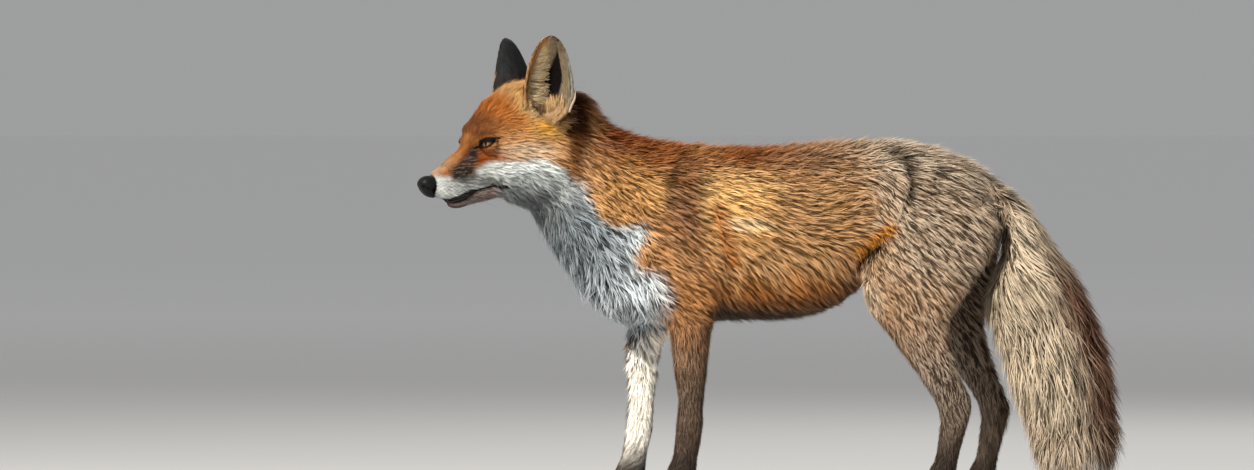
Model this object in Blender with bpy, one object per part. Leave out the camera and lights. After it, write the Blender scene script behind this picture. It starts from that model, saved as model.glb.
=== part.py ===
"""A red fox, life size, standing still with its head turned a little to its left.

The row's frame is in metres: the fox looks towards -X, its left side faces -Y and it stands on Z = 0.
The body is carried out of rings: each ring runs from one point of the animal's profile to another,
such as from the back to the belly, and is as wide as the body is there. The rings of a limb are joined
into a tube, the tubes are fused into one body, and the body is parted by thin cuts into named pieces.
The tail, ears, nose and eyes are solids of their own, let into the body.
"""

import math

import bmesh
import bpy
import numpy as np
from mathutils import Matrix, Vector

# ---- driving dimensions -------------------------------------------------------------------------

GAP = 0.0003  # between two pieces that meet
VOXEL = 0.0025  # cell at which the tubes are fused
SMOOTHING = 10  # passes that round the joins of the fused body
THINNING = (  # regions of the fused body, and about how many triangles each keeps
    (lambda x, z: x < -0.235 and z > 0.30, 1500),  # head
    (lambda x, z: z < 0.045, 1250),  # feet
    (lambda x, z: 0.045 <= z and not (x < -0.235 and z > 0.30), 2370),  # all the rest
)

HEAD_PIVOT = (-0.2193, 0.0)  # x and y of the upright axis on which the head turns
HEAD_TURN = math.radians(24)  # to the fox's left

EYE_RADIUS = 0.0088
EYE_AT = (0.1005, 0.0262, 0.3920)  # ahead of the pivot, out to the side, up

EAR_HEIGHT = 0.0970
EAR_HALF_WIDTH = 0.0235
EAR_WALL = 0.0036
EAR_DROOP = 0.004  # the edges of an ear begin this much lower than its back
# How wide the ear's rear half is against its front half, at these shares of the ear's height
EAR_HEIGHTS = (0.0, 0.12, 0.30, 0.47, 0.63, 0.85, 1.0)
EAR_REAR_SHARES = (1.10, 1.25, 1.42, 1.32, 1.18, 1.08, 1.0)
# Of each ear: the middle of its root ahead of the pivot, out and up, then how far it leans out,
# how far back, and how far round from straight ahead it opens. The left ear listens forward.
EARS = {
    -1: ((0.0430, 0.0345, 0.4130), math.radians(15), math.radians(1.2), math.radians(64)),
    1: ((0.0455, 0.0345, 0.4110), math.radians(15), math.radians(0.5), math.radians(64)),
}

NECK_CUT = ((-0.238, -0.004, 0.383), (-0.875, -0.186, 0.447))  # a point of the cut, and its normal
SHOULDER_CUT = ((-0.165, 0.0, 0.310), (-0.964, 0.0, 0.267))
FORELEG_CUT_HEIGHT = 0.1905
HINDLEG_CUT = ((0.171, 0.0, 0.2460), (0.300, 0.0, -0.954))
TAIL_CUT = ((0.2615, -0.003, 0.3120), (0.713, 0.0, -0.701))
PAW_CUT_HEIGHT = 0.043

# ---- rings --------------------------------------------------------------------------------------
# Each row of a trunk or head table: x and z of the ring's upper point, x and z of its lower point,
# half its width. Each row of a leg table: x and z of the front point, x and z of the back point,
# how far out to the side the ring lies, half its width. In the head's tables x counts ahead of the
# pivot instead, before the head turns.

TRUNK = (
    (0.247, 0.356, 0.247, 0.318, 0.018),  # root of the tail
    (0.218, 0.374, 0.212, 0.290, 0.044),
    (0.182, 0.388, 0.178, 0.276, 0.055),  # hips
    (0.142, 0.3965, 0.144, 0.259, 0.058),
    (0.104, 0.398, 0.102, 0.241, 0.055),  # loin
    (0.063, 0.396, 0.062, 0.214, 0.057),
    (0.021, 0.392, 0.021, 0.203, 0.062),
    (-0.022, 0.390, -0.021, 0.202, 0.066),  # ribs
    (-0.064, 0.391, -0.064, 0.2005, 0.068),
    (-0.100, 0.3945, -0.108, 0.199, 0.067),  # withers to breastbone
    (-0.131, 0.400, -0.160, 0.202, 0.062),
    (-0.158, 0.409, -0.199, 0.226, 0.056),  # foot of the neck
    (-0.1775, 0.4225, -0.222, 0.257, 0.053),
    (-0.189, 0.441, -0.240, 0.288, 0.052),
    (-0.205, 0.452, -0.258, 0.318, 0.052),
    (-0.226, 0.446, -0.262, 0.345, 0.048),  # nape to throat
)

SKULL = (
    (0.1610, 0.3545, 0.1560, 0.3380, 0.0085),
    (0.1575, 0.3590, 0.1480, 0.3335, 0.0118),  # behind the nose
    (0.1440, 0.3705, 0.1290, 0.3322, 0.0148),
    (0.1325, 0.3805, 0.1120, 0.3400, 0.0175),
    (0.1215, 0.3890, 0.0900, 0.3455, 0.0215),  # ahead of the eyes
    (0.1120, 0.4130, 0.0700, 0.3450, 0.0325),  # brow
    (0.0920, 0.4390, 0.0520, 0.3370, 0.0435),
    (0.0680, 0.4555, 0.0390, 0.3260, 0.0490),
    (0.0410, 0.4610, 0.0240, 0.3220, 0.0500),  # between the ears
    (0.0140, 0.4570, 0.0100, 0.3330, 0.0450),
    (-0.0060, 0.4420, -0.0010, 0.3520, 0.0360),  # back of the head
)

JAW = (
    (0.1380, 0.3300, 0.1370, 0.3262, 0.0050),
    (0.1345, 0.3335, 0.1320, 0.3226, 0.0090),  # chin
    (0.1200, 0.3370, 0.1165, 0.3240, 0.0112),
    (0.1000, 0.3450, 0.0970, 0.3290, 0.0145),
    (0.0780, 0.3480, 0.0750, 0.3325, 0.0210),
    (0.0560, 0.3480, 0.0530, 0.3250, 0.0290),  # angle of the jaw
    (0.0400, 0.3450, 0.0370, 0.3230, 0.0300),
)

FORELEG = (
    (-0.1230, 0.352, -0.0600, 0.352, 0.043, 0.018),  # shoulder blade
    (-0.1540, 0.294, -0.0520, 0.305, 0.046, 0.023),  # point of the shoulder
    (-0.1430, 0.240, -0.0510, 0.252, 0.047, 0.024),
    (-0.1150, 0.205, -0.0560, 0.216, 0.046, 0.0215),  # elbow
    (-0.1090, 0.184, -0.0620, 0.190, 0.045, 0.0180),
    (-0.1040, 0.150, -0.0655, 0.154, 0.043, 0.0150),
    (-0.0995, 0.117, -0.0700, 0.118, 0.041, 0.0128),
    (-0.1020, 0.088, -0.0710, 0.086, 0.041, 0.0132),  # wrist
    (-0.1050, 0.058, -0.0765, 0.055, 0.041, 0.0124),
    (-0.1140, 0.035, -0.0790, 0.026, 0.0415, 0.0150),
    (-0.1210, 0.004, -0.0810, -0.0030, 0.0420, 0.0150),  # ball of the foot
)

HINDLEG = (
    (0.1400, 0.362, 0.2120, 0.360, 0.034, 0.016),  # croup
    (0.1180, 0.316, 0.2440, 0.316, 0.037, 0.024),  # hip
    (0.1030, 0.271, 0.2380, 0.277, 0.038, 0.026),
    (0.0960, 0.238, 0.2190, 0.243, 0.039, 0.0255),  # thigh
    (0.1030, 0.213, 0.2030, 0.222, 0.040, 0.0230),  # knee
    (0.1270, 0.184, 0.1920, 0.200, 0.040, 0.0185),
    (0.1490, 0.154, 0.1960, 0.170, 0.040, 0.0150),
    (0.1690, 0.127, 0.2050, 0.141, 0.040, 0.0122),
    (0.1790, 0.105, 0.2170, 0.118, 0.040, 0.0122),  # hock
    (0.1790, 0.083, 0.2095, 0.086, 0.040, 0.0112),
    (0.1745, 0.055, 0.2010, 0.053, 0.040, 0.0110),
    (0.1640, 0.034, 0.1975, 0.025, 0.0405, 0.0142),
    (0.1550, 0.004, 0.1950, -0.0030, 0.0410, 0.0145),  # ball of the foot
)

TAIL = (
    (0.226, 0.362, 0.232, 0.330, 0.014),  # root, inside the rump
    (0.247, 0.3555, 0.236, 0.320, 0.018),
    (0.269, 0.333, 0.246, 0.305, 0.023),
    (0.291, 0.304, 0.250, 0.284, 0.031),
    (0.311, 0.276, 0.246, 0.258, 0.039),
    (0.332, 0.243, 0.236, 0.224, 0.046),
    (0.352, 0.205, 0.242, 0.186, 0.049),
    (0.364, 0.160, 0.254, 0.146, 0.049),
    (0.368, 0.115, 0.268, 0.106, 0.044),
    (0.366, 0.074, 0.284, 0.068, 0.036),
    (0.360, 0.038, 0.304, 0.034, 0.024),
    (0.350, 0.012, 0.326, 0.010, 0.009),  # tip, just off the ground
)
TAIL_SIDEWAYS = -0.010  # the tail hangs a little to the fox's left

# How far the far legs are set from the near ones, against their height: the right foreleg stands
# ahead of the left one, and the right hind leg behind.
FORE_STRIDE = ((0.30, 0.0), (0.24, -0.022), (0.20, -0.044), (0.17, -0.052), (0.0, -0.055))
HIND_STRIDE = ((0.31, 0.0), (0.26, 0.016), (0.23, 0.029), (0.20, 0.040), (0.15, 0.046), (0.0, 0.046))

# A toe: how far out of the foot's middle, how far ahead of the foremost ring it ends, half its width
TOES = ((-0.0135, 0.019, 0.0058), (-0.0048, 0.027, 0.0062), (0.0048, 0.027, 0.0062), (0.0135, 0.019, 0.0058))
TOE_HEIGHT = 0.0068
CLAW_LENGTH, CLAW_RADIUS = 0.0085, 0.0014

# Pelt colours of the nodes, as red, green and blue
RUST, TAWNY, GRIZZLE = (0.40, 0.15, 0.04), (0.36, 0.19, 0.08), (0.29, 0.21, 0.14)
SOOT, CREAM, AMBER, BUFF = (0.018, 0.017, 0.017), (0.55, 0.53, 0.48), (0.33, 0.13, 0.02), (0.30, 0.23, 0.15)


# ---- tubes --------------------------------------------------------------------------------------


def smooth_rows(rows, steps):
    """The rows of a table with steps - 1 more between each two, on a Catmull-Rom curve."""
    knots = np.array(rows, float)
    ends = np.vstack([2 * knots[0] - knots[1], knots, 2 * knots[-1] - knots[-2]])
    found = []
    for i in range(len(knots) - 1):
        before, start, end, after = ends[i : i + 4]
        for t in np.arange(steps) / steps:
            found.append(
                start
                + 0.5 * t * (end - before)
                + t * t * (before - 2.5 * start + 2 * end - 0.5 * after)
                + t**3 * (-0.5 * before + 1.5 * start - 1.5 * end + 0.5 * after)
            )
    return np.array(found + [knots[-1]])


def ring(upper, lower, middle, half_width, sides, squareness=2.2):
    """Points of one ring: a superellipse from upper to lower, as wide to each side of middle."""
    turn = np.arange(sides) * 2 * math.pi / sides
    high, wide = np.cos(turn), np.sin(turn)
    size = (np.abs(high) ** squareness + np.abs(wide) ** squareness) ** (-1 / squareness)
    centre, reach = (upper + lower) / 2, (upper - lower) / 2
    points = np.empty((sides, 3))
    points[:, 0] = centre[0] + reach[0] * high * size
    points[:, 2] = centre[1] + reach[1] * high * size
    points[:, 1] = middle + half_width * wide * size
    return points


def mesh_of(name, points, faces):
    mesh = bpy.data.meshes.new(name)
    mesh.from_pydata([tuple(p) for p in points], [], faces)
    outward(mesh)
    made = bpy.data.objects.new(name, mesh)
    bpy.context.scene.collection.objects.link(made)
    return made


def outward(mesh):
    """Turns the faces of a closed mesh outwards, and halves its quads all along one diagonal, so
    that a piece and the larger copy which cuts its pocket have their edges in the same places."""
    work = bmesh.new()
    work.from_mesh(mesh)
    bmesh.ops.triangulate(work, faces=work.faces, quad_method="FIXED")
    bmesh.ops.recalc_face_normals(work, faces=work.faces)
    if work.calc_volume(signed=True) < 0:
        bmesh.ops.reverse_faces(work, faces=work.faces)
    work.to_mesh(mesh)
    work.free()


def tube(name, rings):
    """A closed tube through rings that all have the same number of points."""
    sides, count = len(rings[0]), len(rings)
    faces = [
        (i * sides + j, i * sides + (j + 1) % sides, (i + 1) * sides + (j + 1) % sides, (i + 1) * sides + j)
        for i in range(count - 1)
        for j in range(sides)
    ]
    faces += [tuple(range(sides)), tuple((count - 1) * sides + j for j in reversed(range(sides)))]
    return mesh_of(name, np.concatenate(rings), faces)


def rounded(rows, name, sides=24, steps=4, side=0.0, grow=0.0):
    """A tube from a table of upper and lower points, grown all round by grow."""
    rings = []
    for x_up, z_up, x_low, z_low, half in smooth_rows(rows, steps):
        upper, lower = np.array((x_up, z_up)), np.array((x_low, z_low))
        out = (upper - lower) / max(np.linalg.norm(upper - lower), 1e-6) * grow
        rings.append(ring(upper + out, lower - out, side, half + grow, sides))
    return tube(name, rings)


def stride_at(height, stride):
    heights, shifts = zip(*reversed(stride))
    return float(np.interp(height, heights, shifts))


def leg(rows, name, side, stride):
    """A leg on one side, +1 for the right, its rings moved along by the stride at their height."""
    rings = []
    for x_front, z_front, x_back, z_back, out, half in smooth_rows(rows, 4):
        shift = stride_at((z_front + z_back) / 2, stride) if stride else 0.0
        front, back = np.array((x_front + shift, z_front)), np.array((x_back + shift, z_back))
        rings.append(ring(front, back, side * out, half, 20))
    return tube(name, rings)


def toes(rows, name, side, stride):
    """The four toes of one foot, each a short tube that bends down to the ground."""
    x_front, _, x_back, _, out, _ = rows[-1]
    shift = stride_at(0.0, stride) if stride else 0.0
    made = []
    for number, (across, ahead, half) in enumerate(TOES):
        tip = x_front + shift - ahead
        root = x_front + shift + 0.014
        table = (
            (root, 0.026, root + 0.004, 0.006, 0.7 * half),
            (root - 0.30 * (root - tip), 0.0245, root - 0.26 * (root - tip), 0.0, half),
            (root - 0.68 * (root - tip), 0.0205, root - 0.66 * (root - tip), -0.001, half),
            (root - 0.92 * (root - tip), 0.0145, root - 0.92 * (root - tip), -0.001, 0.9 * half),
            (tip, 0.0090, tip, 0.0020, 0.45 * half),
        )
        made.append(rounded(table, f"{name}_{number}", 12, 3, side * out + across))
    return made


def claws(rows, name, side, stride):
    """The claws of one foot: slim, curved down, in front of the toes."""
    x_front, out = rows[-1][0], rows[-1][4]
    shift = stride_at(0.0, stride) if stride else 0.0
    made = []
    for number, (across, ahead, _) in enumerate(TOES):
        tip = x_front + shift - ahead
        bend, point = tip + 0.005 - 0.75 * CLAW_LENGTH, tip + 0.0035 - CLAW_LENGTH
        table = (
            (tip + 0.005, TOE_HEIGHT + 0.0042, tip + 0.005, TOE_HEIGHT + 0.0008, CLAW_RADIUS),
            (bend, TOE_HEIGHT + 0.0024, bend, TOE_HEIGHT - 0.0002, 0.9 * CLAW_RADIUS),
            (point, TOE_HEIGHT - 0.0022, point, TOE_HEIGHT - 0.0030, 0.0004),
        )
        made.append(rounded(table, f"{name}_{number}", 5, 1, side * out + across))
    return made


# ---- head ---------------------------------------------------------------------------------------


def turned(made):
    """Moves a piece made ahead of a pivot at the origin, towards +X, to where the head is."""
    face_forward = Matrix.Rotation(math.pi, 4, "Z")
    place = Matrix.Translation((HEAD_PIVOT[0], HEAD_PIVOT[1], 0.0))
    made.data.transform(place @ Matrix.Rotation(HEAD_TURN, 4, "Z") @ face_forward)
    return made


def ball(name, centre, radii, rings=10, sides=16):
    """An ellipsoid, its poles up and down."""
    made = []
    for i in range(1, rings):
        fall = math.pi * i / rings
        around = np.arange(sides) * 2 * math.pi / sides
        made.append(
            np.stack(
                [
                    centre[0] + radii[0] * math.sin(fall) * np.cos(around),
                    centre[1] + radii[1] * math.sin(fall) * np.sin(around),
                    np.full(sides, centre[2] + radii[2] * math.cos(fall)),
                ],
                axis=1,
            )
        )
    top = [(centre[0], centre[1], centre[2] + radii[2])]
    bottom = [(centre[0], centre[1], centre[2] - radii[2])]
    points = np.concatenate([top, *made, bottom])
    last = len(points) - 1
    faces = [(0, 1 + j, 1 + (j + 1) % sides) for j in range(sides)]
    for i in range(rings - 2):
        for j in range(sides):
            k, here, below = (j + 1) % sides, 1 + i * sides, 1 + (i + 1) * sides
            faces.append((here + j, below + j, below + k, here + k))
    faces += [(last, last - sides + (j + 1) % sides, last - sides + j) for j in range(sides)]
    return mesh_of(name, points, faces)


def head_tubes():
    """The tubes and balls of the head: skull, jaw, cheek ruffs, brows and lips."""
    made = [rounded(SKULL, "skull"), rounded(JAW, "jaw")]
    for side in (-1, 1):
        made += [
            ball("ruff", (0.030, side * 0.0290, 0.3690), (0.044, 0.0240, 0.040)),
            ball("cheek", (0.062, side * 0.0220, 0.3660), (0.040, 0.0175, 0.027)),
            ball("brow", (0.0960, side * 0.0205, 0.4070), (0.0160, 0.0120, 0.0095)),
            ball("lip", (0.1330, side * 0.0075, 0.3410), (0.0200, 0.0095, 0.0095)),
        ]
    return [turned(m) for m in made]


def nose(grow=0.0):
    """The bare nose: a rounded wedge at the tip of the muzzle, broad above and narrow at the lip."""
    table = (
        (0.1500, 0.3575, 0.1470, 0.3400, 0.0060),
        (0.1570, 0.3588, 0.1530, 0.3370, 0.0098),
        (0.1640, 0.3582, 0.1590, 0.3370, 0.0106),
        (0.1690, 0.3545, 0.1655, 0.3395, 0.0088),
        (0.1712, 0.3505, 0.1695, 0.3435, 0.0040),
    )
    return turned(rounded(table, "nose", 12, 1, 0.0, grow))


def eye(side, grow=0.0):
    ahead, out, up = EYE_AT
    radius = EYE_RADIUS + grow
    return turned(ball("eye", (ahead, -side * out, up), (radius, radius, radius), 7, 10))


def placed_as_ear(made, side):
    """Moves a piece from the ear's own frame, where the ear opens towards +X, to the head."""
    (ahead, out, up), lean_out, lean_back, opens = EARS[side]
    lean = Matrix.Rotation(side * lean_out, 4, "X") @ Matrix.Rotation(-lean_back, 4, "Y")
    place = Matrix.Translation((ahead, -side * out, up))
    made.data.transform(place @ lean @ Matrix.Rotation(-side * opens, 4, "Z"))
    return turned(made)


def ear_hollow(side):
    """The hollow that the head has inside the cup of an ear."""
    hollow = ball("hollow", (-0.001, -side * 0.003, 0.036), (0.0205, 0.0215, 0.031), 7, 10)
    return placed_as_ear(hollow, side)


def ear(side, grow=0.0):
    """A cupped leaf with a wall of its own: at each height a bent strip, nearly a full tube at the
    root and ever flatter and narrower up to the rounded tip."""
    across_count, height_count = 9, 9
    shells = ([], [])
    for t in np.sin(np.linspace(0.0, math.pi / 2, height_count)):
        wide = EAR_HALF_WIDTH * max(1 - max((t - 0.36) / 0.64, 0.0) ** 2.3, 0.008) ** 0.5
        wide *= 0.52 + 0.48 * min(t / 0.22, 1.0) ** 0.8
        bend = math.radians(138 - 88 * t)
        radius = wide / math.sin(min(bend, math.pi / 2))
        thick = EAR_WALL * (1 - 0.45 * t)
        turns = np.linspace(-bend, bend, across_count) * (1 + grow / radius)
        rear_share = np.interp(t, EAR_HEIGHTS, EAR_REAR_SHARES)
        droop = EAR_DROOP * (1 - t) * (1 - np.cos(turns)) / 2
        for shell, reach in zip(shells, (radius + grow, max(radius - thick - grow, 0.0005))):
            strip = np.empty((across_count, 3))
            strip[:, 0] = 0.5 * radius * math.cos(min(bend, math.pi / 2)) - np.cos(turns) * reach
            strip[:, 1] = np.sin(turns) * reach
            strip[-side * strip[:, 1] > 0, 1] *= rear_share
            strip[:, 2] = EAR_HEIGHT * t - droop + grow * (2 * t - 1)
            shell.append(strip)
    points = np.concatenate([*shells[0], *shells[1]])
    half = across_count * height_count
    faces = []
    for i in range(height_count - 1):
        for j in range(across_count - 1):
            a, b = i * across_count + j, (i + 1) * across_count + j
            faces.append((a, a + 1, b + 1, b))
            faces.append((half + a, half + b, half + b + 1, half + a + 1))
        for j in (0, across_count - 1):
            a, b = i * across_count + j, (i + 1) * across_count + j
            rim = (a, b, half + b, half + a)
            faces.append(rim[::-1] if j == 0 else rim)
    for i in (0, height_count - 1):
        for j in range(across_count - 1):
            a = i * across_count + j
            end = (a, a + 1, half + a + 1, half + a)
            faces.append(end[::-1] if i == 0 else end)
    return placed_as_ear(mesh_of("ear", points, faces), side)


# ---- fusing and parting -------------------------------------------------------------------------


def remove(made):
    bpy.data.objects.remove(made, do_unlink=True)


def joined(pieces, name):
    """One object with the meshes of several."""
    work = bmesh.new()
    for piece in pieces:
        work.from_mesh(piece.data)
        remove(piece)
    mesh = bpy.data.meshes.new(name)
    work.to_mesh(mesh)
    work.free()
    made = bpy.data.objects.new(name, mesh)
    bpy.context.scene.collection.objects.link(made)
    return made


def applied(made):
    """The object with its modifiers turned into its mesh."""
    graph = bpy.context.evaluated_depsgraph_get()
    mesh = bpy.data.meshes.new_from_object(made.evaluated_get(graph), depsgraph=graph)
    made.modifiers.clear()
    made.data = mesh
    return made


def boolean(made, other, operation):
    """made joined with, cut by or kept inside other."""
    step = made.modifiers.new("step", "BOOLEAN")
    step.operation, step.object, step.solver = operation, other, "EXACT"
    return applied(made)


def fused(pieces):
    """One closed skin round all the tubes, its joins rounded and its faces thinned out."""
    body = joined(pieces, "body")
    fuse = body.modifiers.new("fuse", "REMESH")
    fuse.mode, fuse.voxel_size = "VOXEL", VOXEL
    soften = body.modifiers.new("soften", "SMOOTH")
    soften.factor, soften.iterations = 0.5, SMOOTHING
    applied(body)
    for chosen, count in THINNING:
        thinned(body, chosen, count)
    return body


def thinned(body, chosen, count):
    """Thins out the faces for which chosen(x, z) holds, to about count triangles."""
    group = body.vertex_groups.new(name="chosen")
    group.add([v.index for v in body.data.vertices if chosen(v.co.x, v.co.z)], 1.0, "REPLACE")
    inside = {v.index for v in body.data.vertices if chosen(v.co.x, v.co.z)}
    now = sum(len(f.vertices) - 2 for f in body.data.polygons if f.vertices[0] in inside)
    total = sum(len(f.vertices) - 2 for f in body.data.polygons)
    thin = body.modifiers.new("thin", "DECIMATE")
    thin.ratio, thin.vertex_group, thin.vertex_group_factor = 1 - (now - count) / total, "chosen", 1e-6
    applied(body)
    body.vertex_groups.clear()


def crossing_ring(work, point, normal):
    """The faces that a plane passes through, of the one closed ring of them that is nearest point."""
    side = {v: (v.co - point).dot(normal) > 0 for v in work.verts}
    left = {f for f in work.faces if len({side[v] for v in f.verts}) == 2}
    rings = []
    while left:
        ring_faces, todo = [], [left.pop()]
        while todo:
            face = todo.pop()
            ring_faces.append(face)
            crossed = [e for e in face.edges if side[e.verts[0]] != side[e.verts[1]]]
            for beside in {f for e in crossed for f in e.link_faces} & left:
                left.discard(beside)
                todo.append(beside)
        rings.append(sorted(ring_faces, key=lambda f: f.index))

    def away(ring_faces):
        middle = sum((f.calc_center_median() for f in ring_faces), Vector()) / len(ring_faces)
        return (middle - point).length

    return min(rings, key=away)


def sliced(body, point, normal):
    """Cuts through the limb that point is in the middle of: where the plane passes through it the
    surface is opened, and the two ends get flat caps, half the gap to each side of the plane."""
    point, normal = Vector(point), Vector(normal).normalized()
    work = bmesh.new()
    work.from_mesh(body.data)
    faces = crossing_ring(work, point, normal)
    around = list({v for f in faces for v in f.verts}) + list({e for f in faces for e in f.edges}) + faces
    cut = bmesh.ops.bisect_plane(work, geom=around, dist=1e-6, plane_co=point, plane_no=normal)
    seam = [g for g in cut["geom_cut"] if isinstance(g, bmesh.types.BMEdge)]
    bmesh.ops.split_edges(work, edges=seam)
    caps = bmesh.ops.holes_fill(work, edges=[e for e in work.edges if e.is_boundary], sides=0)["faces"]
    for cap in caps:
        beyond = [v.co for rim in cap.verts for f in rim.link_faces for v in f.verts]
        inner = max(((co - point).dot(normal) for co in beyond), key=abs)
        for rim in cap.verts:
            rim.co += normal * math.copysign(GAP / 2, inner)
    bmesh.ops.triangulate(work, faces=caps)
    bmesh.ops.recalc_face_normals(work, faces=work.faces)
    work.to_mesh(body.data)
    work.free()


def connected(work):
    """The vertices of each separate part of a mesh, the largest part first."""
    left = set(work.verts)
    groups = []
    for start in work.verts:
        if start not in left:
            continue
        left.discard(start)
        group, todo = [], [start]
        while todo:
            vertex = todo.pop()
            group.append(vertex)
            for edge in vertex.link_edges:
                other = edge.other_vert(vertex)
                if other in left:
                    left.discard(other)
                    todo.append(other)
        groups.append(sorted(group, key=lambda v: v.index))
    return sorted(groups, key=len, reverse=True)


def islands(body):
    """The separate closed bodies of a mesh, each as its own object."""
    work = bmesh.new()
    work.from_mesh(body.data)
    found = []
    for group in connected(work):
        if len(group) < 12:  # a flake without thickness, left on a cut
            continue
        order = {vertex: n for n, vertex in enumerate(group)}
        faces = [tuple(order[v] for v in f.verts) for f in work.faces if f.verts[0] in order]
        found.append(mesh_of("island", [v.co for v in group], faces))
    work.free()
    remove(body)
    return found


def without_crumbs(made):
    """Keeps only the largest body of a mesh: the pockets of the ears cut crumbs off the head."""
    work = bmesh.new()
    work.from_mesh(made.data)
    for group in connected(work)[1:]:
        bmesh.ops.delete(work, geom=group, context="VERTS")
    work.to_mesh(made.data)
    work.free()


def level_ground(body):
    """Cuts the feet flat where they stand."""
    work = bmesh.new()
    work.from_mesh(body.data)
    everything = list(work.verts) + list(work.edges) + list(work.faces)
    bmesh.ops.bisect_plane(
        work, geom=everything, dist=1e-6, plane_co=(0, 0, 0), plane_no=(0, 0, -1), clear_outer=True
    )
    caps = bmesh.ops.holes_fill(work, edges=[e for e in work.edges if e.is_boundary], sides=0)["faces"]
    bmesh.ops.triangulate(work, faces=caps)
    bmesh.ops.recalc_face_normals(work, faces=work.faces)
    work.to_mesh(body.data)
    work.free()


def named(pieces):
    """Gives each parted piece its name, by where its middle is."""
    places = {
        "head": (-0.295, -0.03, 0.385),
        "neck": (-0.205, 0.0, 0.335),
        "trunk": (0.03, 0.0, 0.300),
        "tail": (0.303, 0.0, 0.180),
    }
    for side, word in ((-1, "left"), (1, "right")):
        fore, hind = (0.0, 0.0) if side < 0 else (-0.052, 0.030)
        places[f"foreleg_{word}"] = (-0.086 + fore, side * 0.042, 0.118)
        places[f"forepaw_{word}"] = (-0.105 + fore, side * 0.042, 0.020)
        places[f"hindleg_{word}"] = (0.172 + hind, side * 0.040, 0.160)
        places[f"hindpaw_{word}"] = (0.175 + hind, side * 0.040, 0.020)
    for piece in pieces:
        points = np.array([v.co for v in piece.data.vertices])
        middle = (points.min(0) + points.max(0)) / 2
        name = min(places, key=lambda n: np.linalg.norm(middle - np.array(places[n])))
        places.pop(name)
        piece.name = name
    return {piece.name: piece for piece in pieces}


# ---- finish -------------------------------------------------------------------------------------


def pelt(name, colour, roughness=0.85):
    material = bpy.data.materials.new(name)
    material.use_nodes = True
    surface = material.node_tree.nodes["Principled BSDF"]
    surface.inputs["Base Color"].default_value = (*colour, 1.0)
    surface.inputs["Roughness"].default_value = roughness
    surface.inputs["Metallic"].default_value = 0.0
    return material


def finish(made, material):
    made.data.materials.clear()
    made.data.materials.append(material)
    made.data.shade_smooth()
    made.data.set_sharp_from_angle(angle=math.radians(60))


def build():
    for thing in list(bpy.data.objects):
        bpy.data.objects.remove(thing, do_unlink=True)

    tubes = [rounded(TRUNK, "trunk", 32, 4), rounded(TAIL, "tail", 28, 4, TAIL_SIDEWAYS)] + head_tubes()
    nails = []
    for side, stride_fore, stride_hind in ((-1, None, None), (1, FORE_STRIDE, HIND_STRIDE)):
        for rows, stride in ((FORELEG, stride_fore), (HINDLEG, stride_hind)):
            tubes.append(leg(rows, "leg", side, stride))
            tubes += toes(rows, "toe", side, stride)
            nails += claws(rows, "claw", side, stride)
    body = fused(tubes)
    level_ground(body)

    # thin flat cuts part the fused body
    for point, normal in (NECK_CUT, SHOULDER_CUT, TAIL_CUT):
        sliced(body, point, normal)
    for side in (-1, 1):
        ahead = stride_at(FORELEG_CUT_HEIGHT, FORE_STRIDE) if side > 0 else 0.0
        sliced(body, (-0.085 + ahead, side * 0.045, FORELEG_CUT_HEIGHT), (0, 0, -1))
        thigh, square_to = HINDLEG_CUT
        behind = stride_at(thigh[2], HIND_STRIDE) if side > 0 else 0.0
        sliced(body, (thigh[0] + behind, side * 0.040, thigh[2]), square_to)
        ahead, behind = (FORE_STRIDE[-1][1], HIND_STRIDE[-1][1]) if side > 0 else (0.0, 0.0)
        sliced(body, (-0.095 + ahead, side * 0.041, PAW_CUT_HEIGHT), (0, 0, -1))
        sliced(body, (0.185 + behind, side * 0.041, PAW_CUT_HEIGHT), (0, 0, -1))
    nodes = named(islands(body))

    # claws are joined to the paws they grow from
    for nail in nails:
        middle = np.mean([v.co for v in nail.data.vertices], axis=0)
        paw = f"{'fore' if middle[0] < 0 else 'hind'}paw_{'left' if middle[1] < 0 else 'right'}"
        boolean(nodes[paw], nail, "UNION")
        remove(nail)

    # ears, eyes and nose are let into pockets of the head
    for side, word in ((-1, "left"), (1, "right")):
        hollow = ear_hollow(side)
        boolean(nodes["head"], hollow, "DIFFERENCE")
        remove(hollow)
        nodes[f"ear_{word}"] = let_in(nodes["head"], ear(side), ear(side, GAP))
        nodes[f"eye_{word}"] = let_in(nodes["head"], eye(side), eye(side, GAP))
    nodes["nose"] = let_in(nodes["head"], nose(), nose(GAP))
    without_crumbs(nodes["head"])

    coats = {
        "trunk": pelt("pelt_tawny", TAWNY),
        "head": pelt("pelt_rust", RUST),
        "leg": pelt("pelt_grizzle", GRIZZLE),
        "tail": pelt("pelt_buff", BUFF),
        "ear": pelt("ear_soot", SOOT),
        "nose": pelt("nose_leather", SOOT, 0.45),
        "eye": pelt("eye_glass", AMBER, 0.08),
    }
    for name, made in nodes.items():
        made.name = name
        part = "leg" if "leg" in name or "paw" in name else name.split("_")[0]
        finish(made, coats["head" if part == "neck" else part])
    stand_on_middle(nodes.values())


def let_in(head, made, pocket):
    """Sinks a pocket for a piece into the head, a gap larger than the piece all round."""
    boolean(head, pocket, "DIFFERENCE")
    remove(pocket)
    return made


def stand_on_middle(pieces):
    """Moves everything so that the row's origin is under the middle of its box, on the ground."""
    corners = np.array([v.co for piece in pieces for v in piece.data.vertices])
    middle = (corners.min(0) + corners.max(0)) / 2
    for piece in pieces:
        piece.data.transform(Matrix.Translation((-middle[0], -middle[1], -corners[:, 2].min())))


build()
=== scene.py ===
"""A life-size red fox, standing: skin, coat, eyes, nose, lips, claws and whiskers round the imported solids.

Lengths are in metres and colours are linear. Places on the body are given as (behind the nose's tip, out
from the middle line, height), and places on the head as (ahead of the eyes, out, above the eyes): both are
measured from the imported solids' boxes, and hold for the left and the right side alike.
"""

import math

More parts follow.
